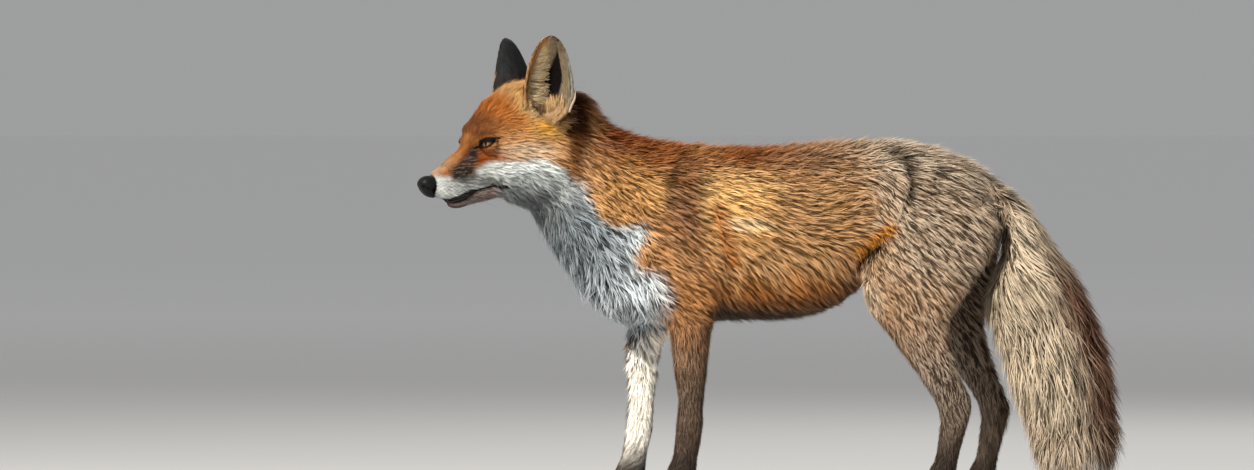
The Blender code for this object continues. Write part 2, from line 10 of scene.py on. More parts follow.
import bmesh
import bpy
import numpy as np
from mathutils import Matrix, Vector


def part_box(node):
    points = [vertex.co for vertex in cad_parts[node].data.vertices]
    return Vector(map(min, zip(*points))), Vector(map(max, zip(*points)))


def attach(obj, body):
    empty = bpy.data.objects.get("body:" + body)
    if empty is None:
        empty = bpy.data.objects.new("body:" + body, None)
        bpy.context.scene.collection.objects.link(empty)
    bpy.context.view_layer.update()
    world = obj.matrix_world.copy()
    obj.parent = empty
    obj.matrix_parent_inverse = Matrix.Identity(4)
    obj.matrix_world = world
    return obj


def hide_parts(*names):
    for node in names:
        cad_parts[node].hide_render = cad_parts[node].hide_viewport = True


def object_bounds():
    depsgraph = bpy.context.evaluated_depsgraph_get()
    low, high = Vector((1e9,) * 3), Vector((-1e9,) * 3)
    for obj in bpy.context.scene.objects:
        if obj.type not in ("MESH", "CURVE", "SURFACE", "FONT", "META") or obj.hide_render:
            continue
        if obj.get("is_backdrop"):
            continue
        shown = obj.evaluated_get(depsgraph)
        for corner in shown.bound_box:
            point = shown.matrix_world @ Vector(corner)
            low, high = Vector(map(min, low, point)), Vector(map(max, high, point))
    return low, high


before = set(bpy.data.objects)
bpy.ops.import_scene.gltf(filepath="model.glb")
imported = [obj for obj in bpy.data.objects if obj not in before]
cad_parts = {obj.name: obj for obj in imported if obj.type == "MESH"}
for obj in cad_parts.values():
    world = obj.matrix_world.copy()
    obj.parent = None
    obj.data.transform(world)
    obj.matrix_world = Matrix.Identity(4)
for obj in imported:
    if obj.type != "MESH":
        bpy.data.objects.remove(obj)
cad_low, cad_high = (np.array(corner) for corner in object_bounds())

LONG_LAYERS, SHORT_LAYERS = 5, 3  # pieces that the coat is laid in
TUFTS_IN_LAYER = 32000
SHORT_TUFTS_IN_LAYER = 60000
SKIN_VOXEL = 0.0013
FACE_KEPT, REST_KEPT = 0.50, 0.16  # shares of the skin's triangles that are kept
AT_ONCE = 20000  # points that are worked on together, to spare memory
FLESH = [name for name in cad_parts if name.split("_")[0] not in ("eye", "nose")]
SIDES = {1: "left", -1: "right"}


# ---- places --------------------------------------------------------------------------------------


def box_of(node):
    """The two corners of a solid's box."""
    return (np.array(corner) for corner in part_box(node))


def middle_of(node):
    low, high = box_of(node)
    return (low + high) / 2


def unit(v):
    """Vectors scaled to length one."""
    return v / np.maximum(np.linalg.norm(v, axis=-1, keepdims=True), 1e-12)


EYE = {side: middle_of(f"eye_{word}") for side, word in SIDES.items()}
EYE_RADIUS = (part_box("eye_left")[1].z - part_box("eye_left")[0].z) / 2
BETWEEN_EYES = (EYE[1] + EYE[-1]) / 2
NOSE = middle_of("nose")
AHEAD = unit((NOSE - BETWEEN_EYES) * (1, 1, 0))
LEFT = np.array((-AHEAD[1], AHEAD[0], 0.0))
UP = np.array((0.0, 0.0, 1.0))
HEAD_AXES = np.array((AHEAD, LEFT, UP))


def in_head(points):
    """Places of the row frame as (ahead of the eyes, to the left, above them)."""
    return (points - BETWEEN_EYES) @ HEAD_AXES.T


def from_head(places):
    return BETWEEN_EYES + np.asarray(places, float) @ HEAD_AXES


def in_body(points):
    """Places of the row frame as (behind the nose's tip, to the left, height)."""
    return np.stack([points[:, 0] - cad_low[0], -points[:, 1], points[:, 2]], axis=1)


def smooth(low, high, x):
    """0 below low, 1 above high, and an S-shaped rise between them; low may be the larger."""
    t = np.clip((x - low) / (high - low), 0, 1)
    return t * t * (3 - 2 * t)


def bell(x, size):
    """1 where x is 0, falling away on both sides over about size."""
    return np.exp(-((x / size) ** 2))


def ripple(points, size, seed):
    """Gentle noise between about -1 and 1: the mean of waves that run through space in six chance
    directions, each about size long from crest to crest."""
    rng = np.random.default_rng(seed)
    ways = unit(rng.normal(size=(6, 3))) * (2 * math.pi / size * rng.uniform(0.7, 1.5, (6, 1)))
    return np.sin(points @ ways.T + rng.uniform(0, 2 * math.pi, 6)).mean(1) * 1.8


def streaks(points, way, size, seed, long):
    """Noise drawn out along the hair, about 0 with a spread of 1: the sum of 160 waves through space,
    sin(k.p + phase), each times exp(-(long k.way)^2 / 2), so those that run along the way die out."""
    rng = np.random.default_rng(seed)
    waves = unit(rng.normal(size=(160, 3))) * (2 * math.pi / size * rng.uniform(0.6, 1.4, (160, 1)))
    phase = rng.uniform(0, 2 * math.pi, 160)
    found = np.empty(len(points))
    for start in range(0, len(points), AT_ONCE):
        part = slice(start, start + AT_ONCE)
        share = np.exp(-((long * (way[part] @ waves.T)) ** 2) / 2)
        total = (np.sin(points[part] @ waves.T + phase) * share).sum(1)
        found[part] = total / np.sqrt((share**2).sum(1) / 2)
    return found


# ---- lie, length and depth of the coat -----------------------------------------------------------
# name: (behind, out, height), way the hair lies as (back, out, up), its length, how deep the coat is

BODY_COAT = {
    "nape": ((0.184, 0.000, 0.440), (0.85, 0.00, -0.50), 0.026, 0.011),
    "neck ridge": ((0.222, 0.000, 0.401), (0.95, 0.05, -0.30), 0.030, 0.011),
    "withers": ((0.291, 0.000, 0.392), (0.97, 0.10, -0.20), 0.032, 0.010),
    "back": ((0.388, 0.000, 0.390), (1.00, 0.10, -0.02), 0.032, 0.010),
    "loin ridge": ((0.494, 0.000, 0.398), (1.00, 0.10, -0.05), 0.034, 0.011),
    "croup": ((0.569, 0.000, 0.385), (0.83, 0.05, -0.55), 0.034, 0.012),
    "tail root": ((0.623, 0.000, 0.355), (0.60, 0.00, -0.80), 0.036, 0.012),
    "neck side": ((0.195, 0.045, 0.385), (0.70, 0.10, -0.70), 0.026, 0.011),
    "low neck": ((0.206, 0.050, 0.326), (0.78, 0.10, -0.60), 0.028, 0.012),
    "throat": ((0.136, 0.020, 0.294), (0.15, 0.15, -0.98), 0.024, 0.012),
    "breast": ((0.184, 0.020, 0.225), (-0.30, 0.15, -0.95), 0.034, 0.015),
    "chest side": ((0.238, 0.055, 0.257), (0.72, 0.20, -0.68), 0.032, 0.012),
    "brisket": ((0.227, 0.000, 0.205), (-0.20, 0.00, -0.95), 0.028, 0.012),
    "shoulder": ((0.281, 0.062, 0.330), (0.87, 0.10, -0.48), 0.024, 0.008),
    "upper arm": ((0.272, 0.065, 0.265), (0.80, 0.05, -0.60), 0.020, 0.007),
    "elbow": ((0.291, 0.060, 0.225), (0.80, 0.00, -0.60), 0.016, 0.006),
    "high ribs": ((0.366, 0.050, 0.358), (0.96, 0.15, -0.26), 0.030, 0.010),
    "ribs": ((0.366, 0.066, 0.305), (0.90, 0.05, -0.43), 0.028, 0.009),
    "low ribs": ((0.366, 0.055, 0.240), (0.70, -0.15, -0.72), 0.028, 0.010),
    "belly": ((0.366, 0.000, 0.206), (0.80, 0.00, -0.50), 0.024, 0.009),
    "high flank": ((0.462, 0.050, 0.363), (0.96, 0.15, -0.26), 0.030, 0.010),
    "flank": ((0.462, 0.058, 0.305), (1.00, 0.05, 0.00), 0.028, 0.009),
    "low flank": ((0.452, 0.045, 0.246), (0.58, -0.05, -0.82), 0.026, 0.009),
    "fold": ((0.482, 0.045, 0.262), (0.58, 0.05, -0.82), 0.022, 0.008),
    "flank whorl": ((0.462, 0.057, 0.326), (0.93, 0.05, 0.36), 0.028, 0.009),
    "before the hip": ((0.500, 0.057, 0.332), (0.62, 0.05, -0.78), 0.026, 0.009),
    "hip": ((0.548, 0.060, 0.342), (0.88, 0.10, -0.46), 0.026, 0.009),
    "thigh": ((0.532, 0.062, 0.273), (0.68, 0.05, -0.73), 0.020, 0.007),
    "back of thigh": ((0.580, 0.050, 0.262), (0.75, 0.00, -0.66), 0.024, 0.008),
    "rump": ((0.607, 0.045, 0.315), (0.74, 0.10, -0.67), 0.028, 0.010),
    "front of thigh": ((0.489, 0.050, 0.225), (0.62, 0.00, -0.78), 0.016, 0.005),
    "inner thigh": ((0.530, 0.018, 0.240), (0.40, 0.00, -0.91), 0.014, 0.005),
    "shank": ((0.543, 0.040, 0.180), (0.50, 0.00, -0.86), 0.014, 0.0045),
    "hock": ((0.573, 0.040, 0.115), (0.25, 0.00, -0.97), 0.010, 0.0030),
    "metatarsus": ((0.572, 0.040, 0.062), (-0.05, 0.00, -1.00), 0.008, 0.0024),
    "hind foot": ((0.550, 0.041, 0.025), (-0.70, 0.00, -0.60), 0.007, 0.0020),
    "hind toes": ((0.512, 0.041, 0.012), (-0.95, 0.00, -0.30), 0.005, 0.0013),
    "forearm": ((0.291, 0.045, 0.180), (0.15, 0.00, -0.98), 0.014, 0.0045),
    "shin": ((0.289, 0.043, 0.125), (0.05, 0.00, -1.00), 0.011, 0.0032),
    "wrist": ((0.286, 0.041, 0.078), (0.00, 0.00, -1.00), 0.009, 0.0026),
    "fore foot": ((0.272, 0.041, 0.030), (-0.55, 0.00, -0.80), 0.007, 0.0020),
    "fore toes": ((0.237, 0.041, 0.012), (-0.95, 0.00, -0.30), 0.005, 0.0013),
    "base of tail": ((0.648, 0.010, 0.312), (0.58, 0.05, -0.80), 0.036, 0.008),
    "high tail": ((0.664, 0.025, 0.262), (0.52, 0.15, -0.83), 0.044, 0.014),
    "middle of tail": ((0.682, 0.040, 0.180), (0.28, 0.12, -0.95), 0.050, 0.022),
    "low tail": ((0.697, 0.035, 0.107), (0.12, 0.00, -1.00), 0.050, 0.020),
    "tip of tail": ((0.710, 0.000, 0.030), (-0.05, -0.05, -1.00), 0.036, 0.007),
}
HEAD_COAT = {  # places and ways as (ahead, out, up)
    "nose ridge": ((0.052, 0.004, -0.026), (-0.85, 0.05, 0.52), 0.0035, 0.0009),
    "bridge": ((0.036, 0.006, -0.012), (-0.80, 0.05, 0.60), 0.0050, 0.0013),
    "stop": ((0.016, 0.008, 0.010), (-0.70, 0.10, 0.70), 0.0070, 0.0022),
    "forehead": ((0.000, 0.010, 0.036), (-0.65, 0.10, 0.75), 0.0110, 0.0038),
    "crown": ((-0.035, 0.010, 0.062), (-0.90, 0.05, 0.40), 0.0150, 0.0055),
    "occiput": ((-0.085, 0.010, 0.062), (-0.95, 0.05, -0.25), 0.0200, 0.0080),
    "lip front": ((0.050, 0.011, -0.044), (-0.95, 0.20, 0.00), 0.0035, 0.0009),
    "muzzle": ((0.034, 0.016, -0.036), (-0.95, 0.25, 0.05), 0.0050, 0.0013),
    "under the eye's corner": ((0.014, 0.023, -0.024), (-0.92, 0.35, 0.05), 0.0065, 0.0020),
    "upper lip": ((0.028, 0.014, -0.052), (-0.90, 0.20, -0.30), 0.0050, 0.0012),
    "chin": ((0.036, 0.004, -0.068), (-0.95, 0.00, -0.20), 0.0050, 0.0013),
    "jaw": ((0.000, 0.015, -0.060), (-0.95, 0.20, -0.10), 0.0068, 0.0034),
    "throat": ((-0.040, 0.015, -0.066), (-0.85, 0.10, -0.50), 0.0160, 0.0070),
    "under the eye": ((0.000, 0.033, -0.014), (-0.90, 0.35, -0.15), 0.0060, 0.0018),
    "cheek": ((-0.020, 0.042, -0.025), (-0.86, 0.40, -0.25), 0.0120, 0.0042),
    "ruff": ((-0.055, 0.052, -0.026), (-0.80, 0.40, -0.42), 0.0200, 0.0078),
    "low ruff": ((-0.045, 0.045, -0.055), (-0.75, 0.30, -0.60), 0.0200, 0.0080),
    "temple": ((-0.025, 0.042, 0.012), (-0.88, 0.30, 0.05), 0.0090, 0.0032),
    "brow": ((0.008, 0.024, 0.018), (-0.72, 0.40, 0.50), 0.0060, 0.0018),
    "before the ear": ((-0.040, 0.034, 0.050), (-0.50, 0.20, 0.80), 0.0100, 0.0030),
    "behind the ear": ((-0.100, 0.040, 0.030), (-0.85, 0.30, -0.45), 0.0220, 0.0080),
}


def coat_table():
    """The coat's named spots for both sides: places, ways, and (length, depth)."""
    places, ways, sizes = [], [], []
    for side in SIDES:
        for (behind, out, height), (back, spread, up), length, depth in BODY_COAT.values():
            places.append((behind + cad_low[0], -side * out, height))
            ways.append((back, -side * spread, up))
            sizes.append((length, depth))
        for (ahead, out, high), (forward, spread, up), length, depth in HEAD_COAT.values():
            places.append(from_head((ahead, side * out, high)))
            ways.append(np.array((forward, side * spread, up)) @ HEAD_AXES)
            sizes.append((length, depth))
    return np.array(places), unit(np.array(ways)), np.array(sizes)


COAT_PLACES, COAT_WAYS, COAT_SIZES = coat_table()


def coat_at(points):
    """The way, length and depth of the coat at points: the mean of the named spots, each weighted
    by one over the 4.4th power of its distance."""
    ways, sizes = np.empty_like(points), np.empty((len(points), 2))
    for start in range(0, len(points), AT_ONCE):
        part = slice(start, start + AT_ONCE)
        away = ((points[part, None, :] - COAT_PLACES[None]) ** 2).sum(2) + 0.006**2
        weight = away**-2.2
        weight /= weight.sum(1, keepdims=True)
        ways[part] = weight @ COAT_WAYS
        sizes[part] = weight @ COAT_SIZES
    return unit(ways), sizes[:, 0], sizes[:, 1]


# ---- outlines and lines of the markings ------------------------------------------------------------
# on the flanks, as (behind, height)

BIB = (
    *((0.070, 0.366), (0.110, 0.374), (0.130, 0.378), (0.161, 0.359), (0.175, 0.351), (0.191, 0.314)),
    *((0.213, 0.303), (0.243, 0.308), (0.246, 0.298), (0.228, 0.276), (0.239, 0.262), (0.260, 0.258)),
    *((0.272, 0.235), (0.274, 0.220), (0.266, 0.200), (0.200, 0.170), (0.050, 0.250), (0.020, 0.320)),
)
# the last column darkens the coat along each line as painted shade in the hollows; below 0 it lightens the
# hip ridge as a painted highlight
FOLDS = (  # the line, half its width, how deep, how dark
    # hip hollow
    (((0.505, 0.382), (0.520, 0.369), (0.5275, 0.353), (0.5235, 0.337)), 0.0075, 0.0030, 0.85),
    # hip ridge
    (
        ((0.500, 0.376), (0.512, 0.366), (0.5155, 0.353), (0.5145, 0.336), (0.508, 0.3155)),
        *(0.0030, -0.0016, -0.55),
    ),
    # loin hollow
    (((0.409, 0.380), (0.433, 0.370), (0.459, 0.356)), 0.0060, 0.0018, 0.38),
    # stifle fold
    (((0.473, 0.2680), (0.494, 0.283)), 0.0065, 0.0026, 0.95),
    # shoulder line
    (((0.276, 0.372), (0.269, 0.3475), (0.267, 0.325)), 0.0065, 0.0010, 0.60),
    # behind the arm
    (((0.319, 0.318), (0.327, 0.293), (0.3305, 0.277), (0.326, 0.245)), 0.0065, 0.0020, 0.35),
)
BRUSH_HEIGHTS, BRUSH_EDGE = (0.05, 0.15, 0.20, 0.25, 0.30), (0.725, 0.722, 0.712, 0.690, 0.660)
# on the head, as (ahead of the eyes, above them)
CHEEK_STRIPE = (
    *((0.016, -0.030), (0.000, -0.019), (-0.025, -0.018), (-0.050, -0.015), (-0.066, -0.020)),
    *((-0.082, -0.032), (-0.085, -0.060), (-0.040, -0.080), (0.020, -0.090), (0.060, -0.075)),
    *((0.075, -0.045), (0.060, -0.034), (0.030, -0.036)),
)
TEAR_MARK = (
    *((0.0088, -0.0030), (0.0152, -0.0048), (0.0217, -0.0131), (0.0310, -0.0213), (0.0405, -0.0294)),
    *((0.036, -0.039), (0.022, -0.041), (0.0085, -0.0365), (0.0138, -0.0267), (0.0105, -0.0193)),
    (0.0098, -0.0104),
)
BRIDGE = ((0.075, -0.040), (0.050, -0.036), (0.026, -0.022), (0.012, 0.006), (0.030, 0.020), (0.080, -0.020))
MOUTH = (  # along the line, and half the height of the black lip there
    *((0.0555, -0.0572, 0.0030), (0.0480, -0.0605, 0.0032), (0.0385, -0.0608, 0.0032)),
    *((0.0255, -0.0576, 0.0046), (0.0140, -0.0527, 0.0038), (0.0020, -0.0486, 0.0021)),
    *((-0.0085, -0.0455, 0.0017), (-0.0160, -0.0440, 0.0017), (-0.0212, -0.0431, 0.0010)),
)
MOUTH_LINE, LIP_HALF = np.array(MOUTH)[:, :2], np.array(MOUTH)[:, 2]
PHILTRUM = ((0.0700, -0.0500), (0.0600, -0.0560), (0.0530, -0.0600))
INNER_CORNER = ((0.0115, -0.0050), (0.0060, -0.0020))
OUTER_CORNER = ((0.0000, 0.0046), (-0.0050, 0.0060), (-0.0095, 0.0062))
# inside the ear, as (towards the front edge, up), each 1 at the ear's end
EAR_HOLLOW = (
    *((0.32, 0.52), (0.30, 0.44), (0.18, 0.35), (0.05, 0.29), (-0.22, 0.29), (-0.34, 0.35), (-0.52, 0.50)),
    *((-0.52, 0.62), (-0.47, 0.74), (-0.40, 0.87), (-0.22, 0.80), (0.00, 0.71), (0.16, 0.62)),
)


def blob(q, centre, radii, soft):
    """1 inside an ellipsoid, 0 outside, fading over soft times its size."""
    far = np.sqrt((((q - np.array(centre)) / np.array(radii)) ** 2).sum(1))
    return 1 - smooth(1 - soft, 1 + soft, far)


def to_edges(q, starts, ends):
    """Distances of flat points to straight edges, and how far along each (0 to 1) the nearest place is."""
    edge = ends - starts
    rel = q[:, None, :] - starts[None]
    t = np.clip((rel * edge).sum(2) / (edge**2).sum(1), 0, 1)
    return np.sqrt(((rel - t[..., None] * edge) ** 2).sum(2)), t


def area(q, outline, soft):
    """1 inside a closed outline drawn on a flat view, 0 outside, fading over soft to both sides: the
    distance to the nearest edge, counted as negative where a ray crosses the outline an even number
    of times."""
    a = np.array(outline, float)
    b = np.roll(a, -1, axis=0)
    far = to_edges(q, a, b)[0].min(1)
    x, y = q[:, :1], q[:, 1:]
    crossed = (a[None, :, 1] > y) != (b[None, :, 1] > y)
    rise = np.where(b[:, 1] == a[:, 1], 1e-12, b[:, 1] - a[:, 1])
    reach = a[None, :, 0] + (y - a[None, :, 1]) * (b - a)[:, 0] / rise
    inside = (crossed & (x < reach)).sum(1) % 2 == 1
    return smooth(-soft, soft, np.where(inside, far, -far))


def from_path(q, path):
    """Distance of flat points to a bent line, and how far along it (0 to 1) the nearest place is."""
    stops = np.array(path, float)
    far, t = to_edges(q, stops[:-1], stops[1:])
    nearest = far.argmin(1)
    return far.min(1), (nearest + t[np.arange(len(q)), nearest]) / (len(stops) - 1)


def laid_over(under, colour, mask):
    return under + (np.array(colour) - under) * mask[:, None]


# ---- eyes' openings --------------------------------------------------------------------------------

GAZE_OUT = math.radians(48)  # how far out from straight ahead the eyes look
GAZE = {
    side: unit(AHEAD * math.cos(GAZE_OUT) + side * LEFT * math.sin(GAZE_OUT) + UP * 0.03) for side in SIDES
}
EYE_TILT = math.radians(20)
EYE_OPEN = math.radians(60)  # half the opening's width, seen from the eye's middle
EYE_UPPER, EYE_LOWER = math.radians(11), math.radians(19)  # its height above and below the gaze
RIM_WIDE, RIM_UPPER, RIM_LOWER = math.radians(76), math.radians(35), math.radians(27)
NEAR_EYE = 0.017


def eye_axes(side):
    """The eye's own directions: its gaze, along the opening to the outer corner, and across it."""
    gaze = GAZE[side]
    out = unit(np.cross(UP, gaze) * side)
    up = unit(np.cross(gaze, out) * side)
    c, s = math.cos(EYE_TILT), math.sin(EYE_TILT)
    return gaze, c * out + s * up, c * up - s * out


def in_eye(points, side):
    """How far points are from the gaze, as angles along and across the opening."""
    gaze, along, across = eye_axes(side)
    way = unit(points - EYE[side])
    turn = np.arccos(np.clip(way @ gaze, -1, 1))
    flat = np.stack([way @ along, way @ across], axis=1)
    return unit(flat) * turn[:, None]


def from_opening(points, wide, upper, lower):
    """How far points are from the nearer eye's gaze, counted in the half sizes of an opening: 1 on its
    edge, 2 at twice its size, and far away from the eyes a large number."""
    reach = np.full(len(points), 99.0)
    for side in SIDES:
        near = np.linalg.norm(points - EYE[side], axis=1) < NEAR_EYE
        along, across = in_eye(points[near], side).T
        across = across / np.where(across > 0, upper, lower)
        reach[near] = np.minimum(reach[near], np.hypot(along / wide, across))
    return reach


def eye_reach(points):
    return from_opening(points, EYE_OPEN, EYE_UPPER, EYE_LOWER)


# ---- markings --------------------------------------------------------------------------------------

TAWNY, DEEP_RUST, SOOT = (0.38, 0.20, 0.075), (0.20, 0.065, 0.012), (0.018, 0.019, 0.021)
GRIZZLE, BUFF = (0.29, 0.205, 0.135), (0.47, 0.39, 0.275)
CREAM, WHITE = (0.55, 0.43, 0.30), (0.60, 0.62, 0.60)
# patches: colour, centre and radii on the side view, how softly they fade, how strong they are
SIDE_SPOTS = (  # from the neck to the ribs; 1 at the end leaves out what faces up
    ((0.38, 0.175, 0.058), (0.262, 0.290), (0.075, 0.120), 0.35, 0.8, 0),
    # painted shade along the rear edge of the upper arm, over tawny fur
    ((0.185, 0.075, 0.028), (0.292, 0.325), (0.020, 0.050), 0.6, 0.85, 0),
    ((0.20, 0.050, 0.006), (0.245, 0.378), (0.038, 0.014), 0.6, 0.85, 0),
    ((0.86, 0.56, 0.21), (0.334, 0.350), (0.042, 0.036), 0.6, 0.8, 1),
    ((0.66, 0.36, 0.11), (0.340, 0.310), (0.036, 0.030), 0.7, 0.6, 0),
    ((0.37, 0.180, 0.048), (0.210, 0.335), (0.036, 0.044), 0.6, 0.8, 0),
    ((0.56, 0.31, 0.10), (0.250, 0.338), (0.018, 0.016), 0.6, 0.7, 0),
    ((0.62, 0.49, 0.29), (0.347, 0.307), (0.026, 0.007), 0.5, 0.7, 0),
    ((0.52, 0.36, 0.20), (0.314, 0.370), (0.026, 0.016), 0.6, 0.7, 1),
    # painted shade along the rear edge of the upper arm
    ((0.15, 0.050, 0.012), (0.289, 0.335), (0.014, 0.036), 0.7, 0.75, 0),
)
NAPE_SPOTS = (
    # deep rust on the nape: darker fur, partly a painted shade behind the ear
    (DEEP_RUST, (0.190, 0.412), (0.040, 0.045), 0.5, 0.6),
    ((0.30, 0.105, 0.016), (0.204, 0.425), (0.024, 0.026), 0.6, 0.6),
)
THIGH_SPOTS = (
    ((0.24, 0.10, 0.03), (0.462, 0.258), (0.014, 0.020), 0.6, 0.7),
    ((0.42, 0.24, 0.12), (0.540, 0.212), (0.046, 0.040), 0.5, 0.7),
    (CREAM, (0.482, 0.218), (0.016, 0.040), 0.5, 0.8),
)
HEAD_SPOTS = (
    ((0.52, 0.27, 0.10), (-0.050, 0.000), (0.046, 0.026), 0.5, 0.85),
    ((0.36, 0.112, 0.018), (-0.024, 0.036), (0.024, 0.024), 0.5, 0.7),
    ((0.44, 0.24, 0.105), (-0.045, 0.060), (0.040, 0.014), 0.5, 0.8),
    ((0.50, 0.31, 0.11), (-0.042, 0.043), (0.015, 0.015), 0.6, 0.85),
    ((0.54, 0.38, 0.22), (-0.058, 0.031), (0.016, 0.010), 0.6, 0.7),
    ((0.14, 0.046, 0.014), (0.010, 0.018), (0.018, 0.016), 0.6, 0.8),
)
CHEEK_SPOTS = (
    ((0.58, 0.32, 0.070), (-0.062, 0.018), (0.022, 0.013), 0.6, 0.8),
    ((0.25, 0.046, 0.002), (0.000, -0.014), (0.022, 0.009), 0.6, 0.75),
    ((0.66, 0.50, 0.34), (-0.040, -0.008), (0.026, 0.009), 0.6, 0.8),
    ((0.70, 0.34, 0.04), (-0.062, 0.017), (0.012, 0.007), 0.6, 0.7),
)
# dark grey under the jaw: grey fur, partly painted shade under the head
JAW_SPOTS = (
    ((0.085, 0.092, 0.098), (-0.040, -0.068), (0.044, 0.019), 0.6, 0.9),
    ((0.09, 0.095, 0.10), (-0.048, -0.055), (0.014, 0.009), 0.7, 0.7),
)
# grey on the breast and throat, partly painted shadow under the head
BIB_GREY_AND_SHADOW = (
    ((0.13, 0.15, 0.16), (0.140, 0.312), (0.036, 0.030), 0.5, 0.75),
    ((0.105, 0.125, 0.14), (0.186, 0.290), (0.036, 0.040), 0.6, 0.75),
)
# darker fur, with a painted shadow of the ears fading down the neck and over its top
NECK_SPOTS = (  # under and behind the ears
    ((0.10, 0.034, 0.008), (0.166, 0.378), (0.010, 0.028), 0.6, 0.6),
    ((0.125, 0.024, 0.001), (0.222, 0.396), (0.034, 0.016), 0.6, 0.8),
)


class Pelt:
    """Colour and grizzle at places of the skin, painted patch by patch from the widest to the
    smallest. ear is 1 on the ears, inner 1 inside their cups."""

    def __init__(self, points, normals, ear, inner):
        body, head = in_body(points), in_head(points)
        self.points, self.normals, self.ear, self.inner = points, normals, ear, inner
        self.flat, self.face = body[:, [0, 2]], head[:, [0, 2]]
        self.behind, self.height, self.left = body[:, 0], body[:, 2], body[:, 1]
        self.to_left, self.out = head[:, 1], np.abs(head[:, 1])
        self.wander = ripple(points, 0.035, 3) * 0.006
        self.ragged = self.height + self.wander
        self.upward = smooth(0.15, 0.8, normals[:, 2])
        self.downward = smooth(-0.35, -0.85, normals[:, 2])
        self.colour = np.tile(np.array(TAWNY), (len(points), 1))
        self.grizzle = 0.24 - 0.15 * smooth(0.265, 0.230, self.ragged)
        self.grizzle -= 0.17 * self.upward * smooth(0.50, 0.34, self.behind)

    def paint(self, tone, mask):
        self.colour = laid_over(self.colour, tone, mask)

    def spots(self, view, rows, within=1.0):
        for tone, centre, radii, soft, share in rows:
            self.paint(tone, blob(view, centre, radii, soft) * within * share)


def paint_trunk(p):
    """Rust back, tawny sides with their pale and dark patches, some of the dark ones painted shade behind the
    shoulder and the ear, and the grizzled rear.
    """
    p.paint((0.155, 0.031, 0.001), p.upward * smooth(0.50, 0.34, p.behind) * 0.9)
    p.paint((0.32, 0.190, 0.115), p.upward * smooth(0.34, 0.50, p.behind) * 0.8)
    p.paint((0.32, 0.095, 0.006), smooth(0.270, 0.228, p.ragged) * 0.85)
    p.paint((0.20, 0.055, 0.003), smooth(0.252, 0.226, p.ragged) * smooth(0.28, 0.34, p.behind) * 0.65)
    for *spot, below in SIDE_SPOTS:
        p.spots(p.flat, (spot,), 1 - below * p.upward)
    behind_arm, _ = from_path(p.flat, ((0.318, 0.322), (0.333, 0.270)))
    p.paint((0.46, 0.13, 0.008), smooth(0.012, 0.004, behind_arm) * 0.6)
    p.spots(p.flat, NAPE_SPOTS)

    p.rear = smooth(0.455, 0.520, p.behind + 0.20 * (p.height - 0.33) + p.wander)
    p.paint(GRIZZLE, p.rear * 0.9)
    p.paint((0.38, 0.31, 0.22), p.rear * p.upward * 0.5)
    groin = smooth(0.0120, 0.0050, from_path(p.flat, ((0.470, 0.277), (0.503, 0.302)))[0])
    p.paint((0.44, 0.165, 0.016), groin * 0.9)
    p.grizzle = (p.grizzle + p.rear * 0.65) * (1 - 0.8 * groin)
    p.spots(p.flat, THIGH_SPOTS)


def paint_legs(p):
    """Brown legs, black towards the paws, pale on the inside, the forelegs' inner sides brightened further by
    painted light, with painted shade where the body faces down, over the belly's dark underside, between the
    hind legs and in the folds.
    """
    p.on_leg = (p.height < 0.20) & ((p.behind < 0.612) | (p.left < -0.018) & (p.behind < 0.648))
    p.low = smooth(0.235, 0.165, p.ragged) * ((p.behind < 0.62) | p.on_leg)
    fore, hind = p.behind < 0.40, (p.behind > 0.40) & (p.behind < 0.62)
    p.paint((0.21, 0.125, 0.075), p.low * 0.85)
    p.paint((0.095, 0.068, 0.050), smooth(0.200, 0.120, p.height) * p.low * 0.85)
    p.paint((0.038, 0.028, 0.024), smooth(0.100, 0.045, p.height) * p.low * 0.85)
    inwards = smooth(0.1, 0.7, p.normals[:, 1] * np.sign(p.left))
    inside = smooth(0.215, 0.170, p.height) * inwards
    # the forelegs' pale inner sides, raised nearly to white: pale fur, partly painted light
    p.paint((1.00, 0.95, 0.86), inside * fore * smooth(0.035, 0.085, p.height) * 0.95)
    p.paint((0.26, 0.19, 0.14), inside * smooth(0.04, 0.09, p.height) * hind * 0.9)
    # painted shade on the inner sides of the hind legs, towards the tail
    between = smooth(0.09, 0.14, p.height) * smooth(0.300, 0.250, p.height)
    between = between * (p.behind > 0.54) * (p.behind < 0.64) * inwards
    p.paint((0.060, 0.036, 0.024), between * 0.8)
    p.grizzle = p.grizzle * smooth(0.060, 0.150, p.height + 0.2 * ((p.behind > 0.62) & ~p.on_leg))
    p.grizzle = p.grizzle * (1 - p.low * fore * 0.5)

    # painted shade wherever the body faces down
    p.paint((0.075, 0.045, 0.025), p.downward * (p.height > 0.17) * (p.behind > 0.28) * 0.85)
    # painted shade under the belly, over darker fur
    under = smooth(0.226, 0.215, p.height + 0.5 * p.wander)
    under = under * smooth(0.295, 0.320, p.behind) * smooth(0.480, 0.455, p.behind)
    p.paint((0.040, 0.026, 0.018), under * 0.9)
    # painted shade along the folds' hollows, and a painted highlight along the hip ridge
    for line, half, _, dark in FOLDS:
        near = bell(from_path(p.flat, line)[0], half) * (np.abs(p.left) > 0.015)
        p.colour = p.colour * (1 - dark * near)[:, None]
        p.grizzle = p.grizzle * (1 - max(dark, 0.0) * near)


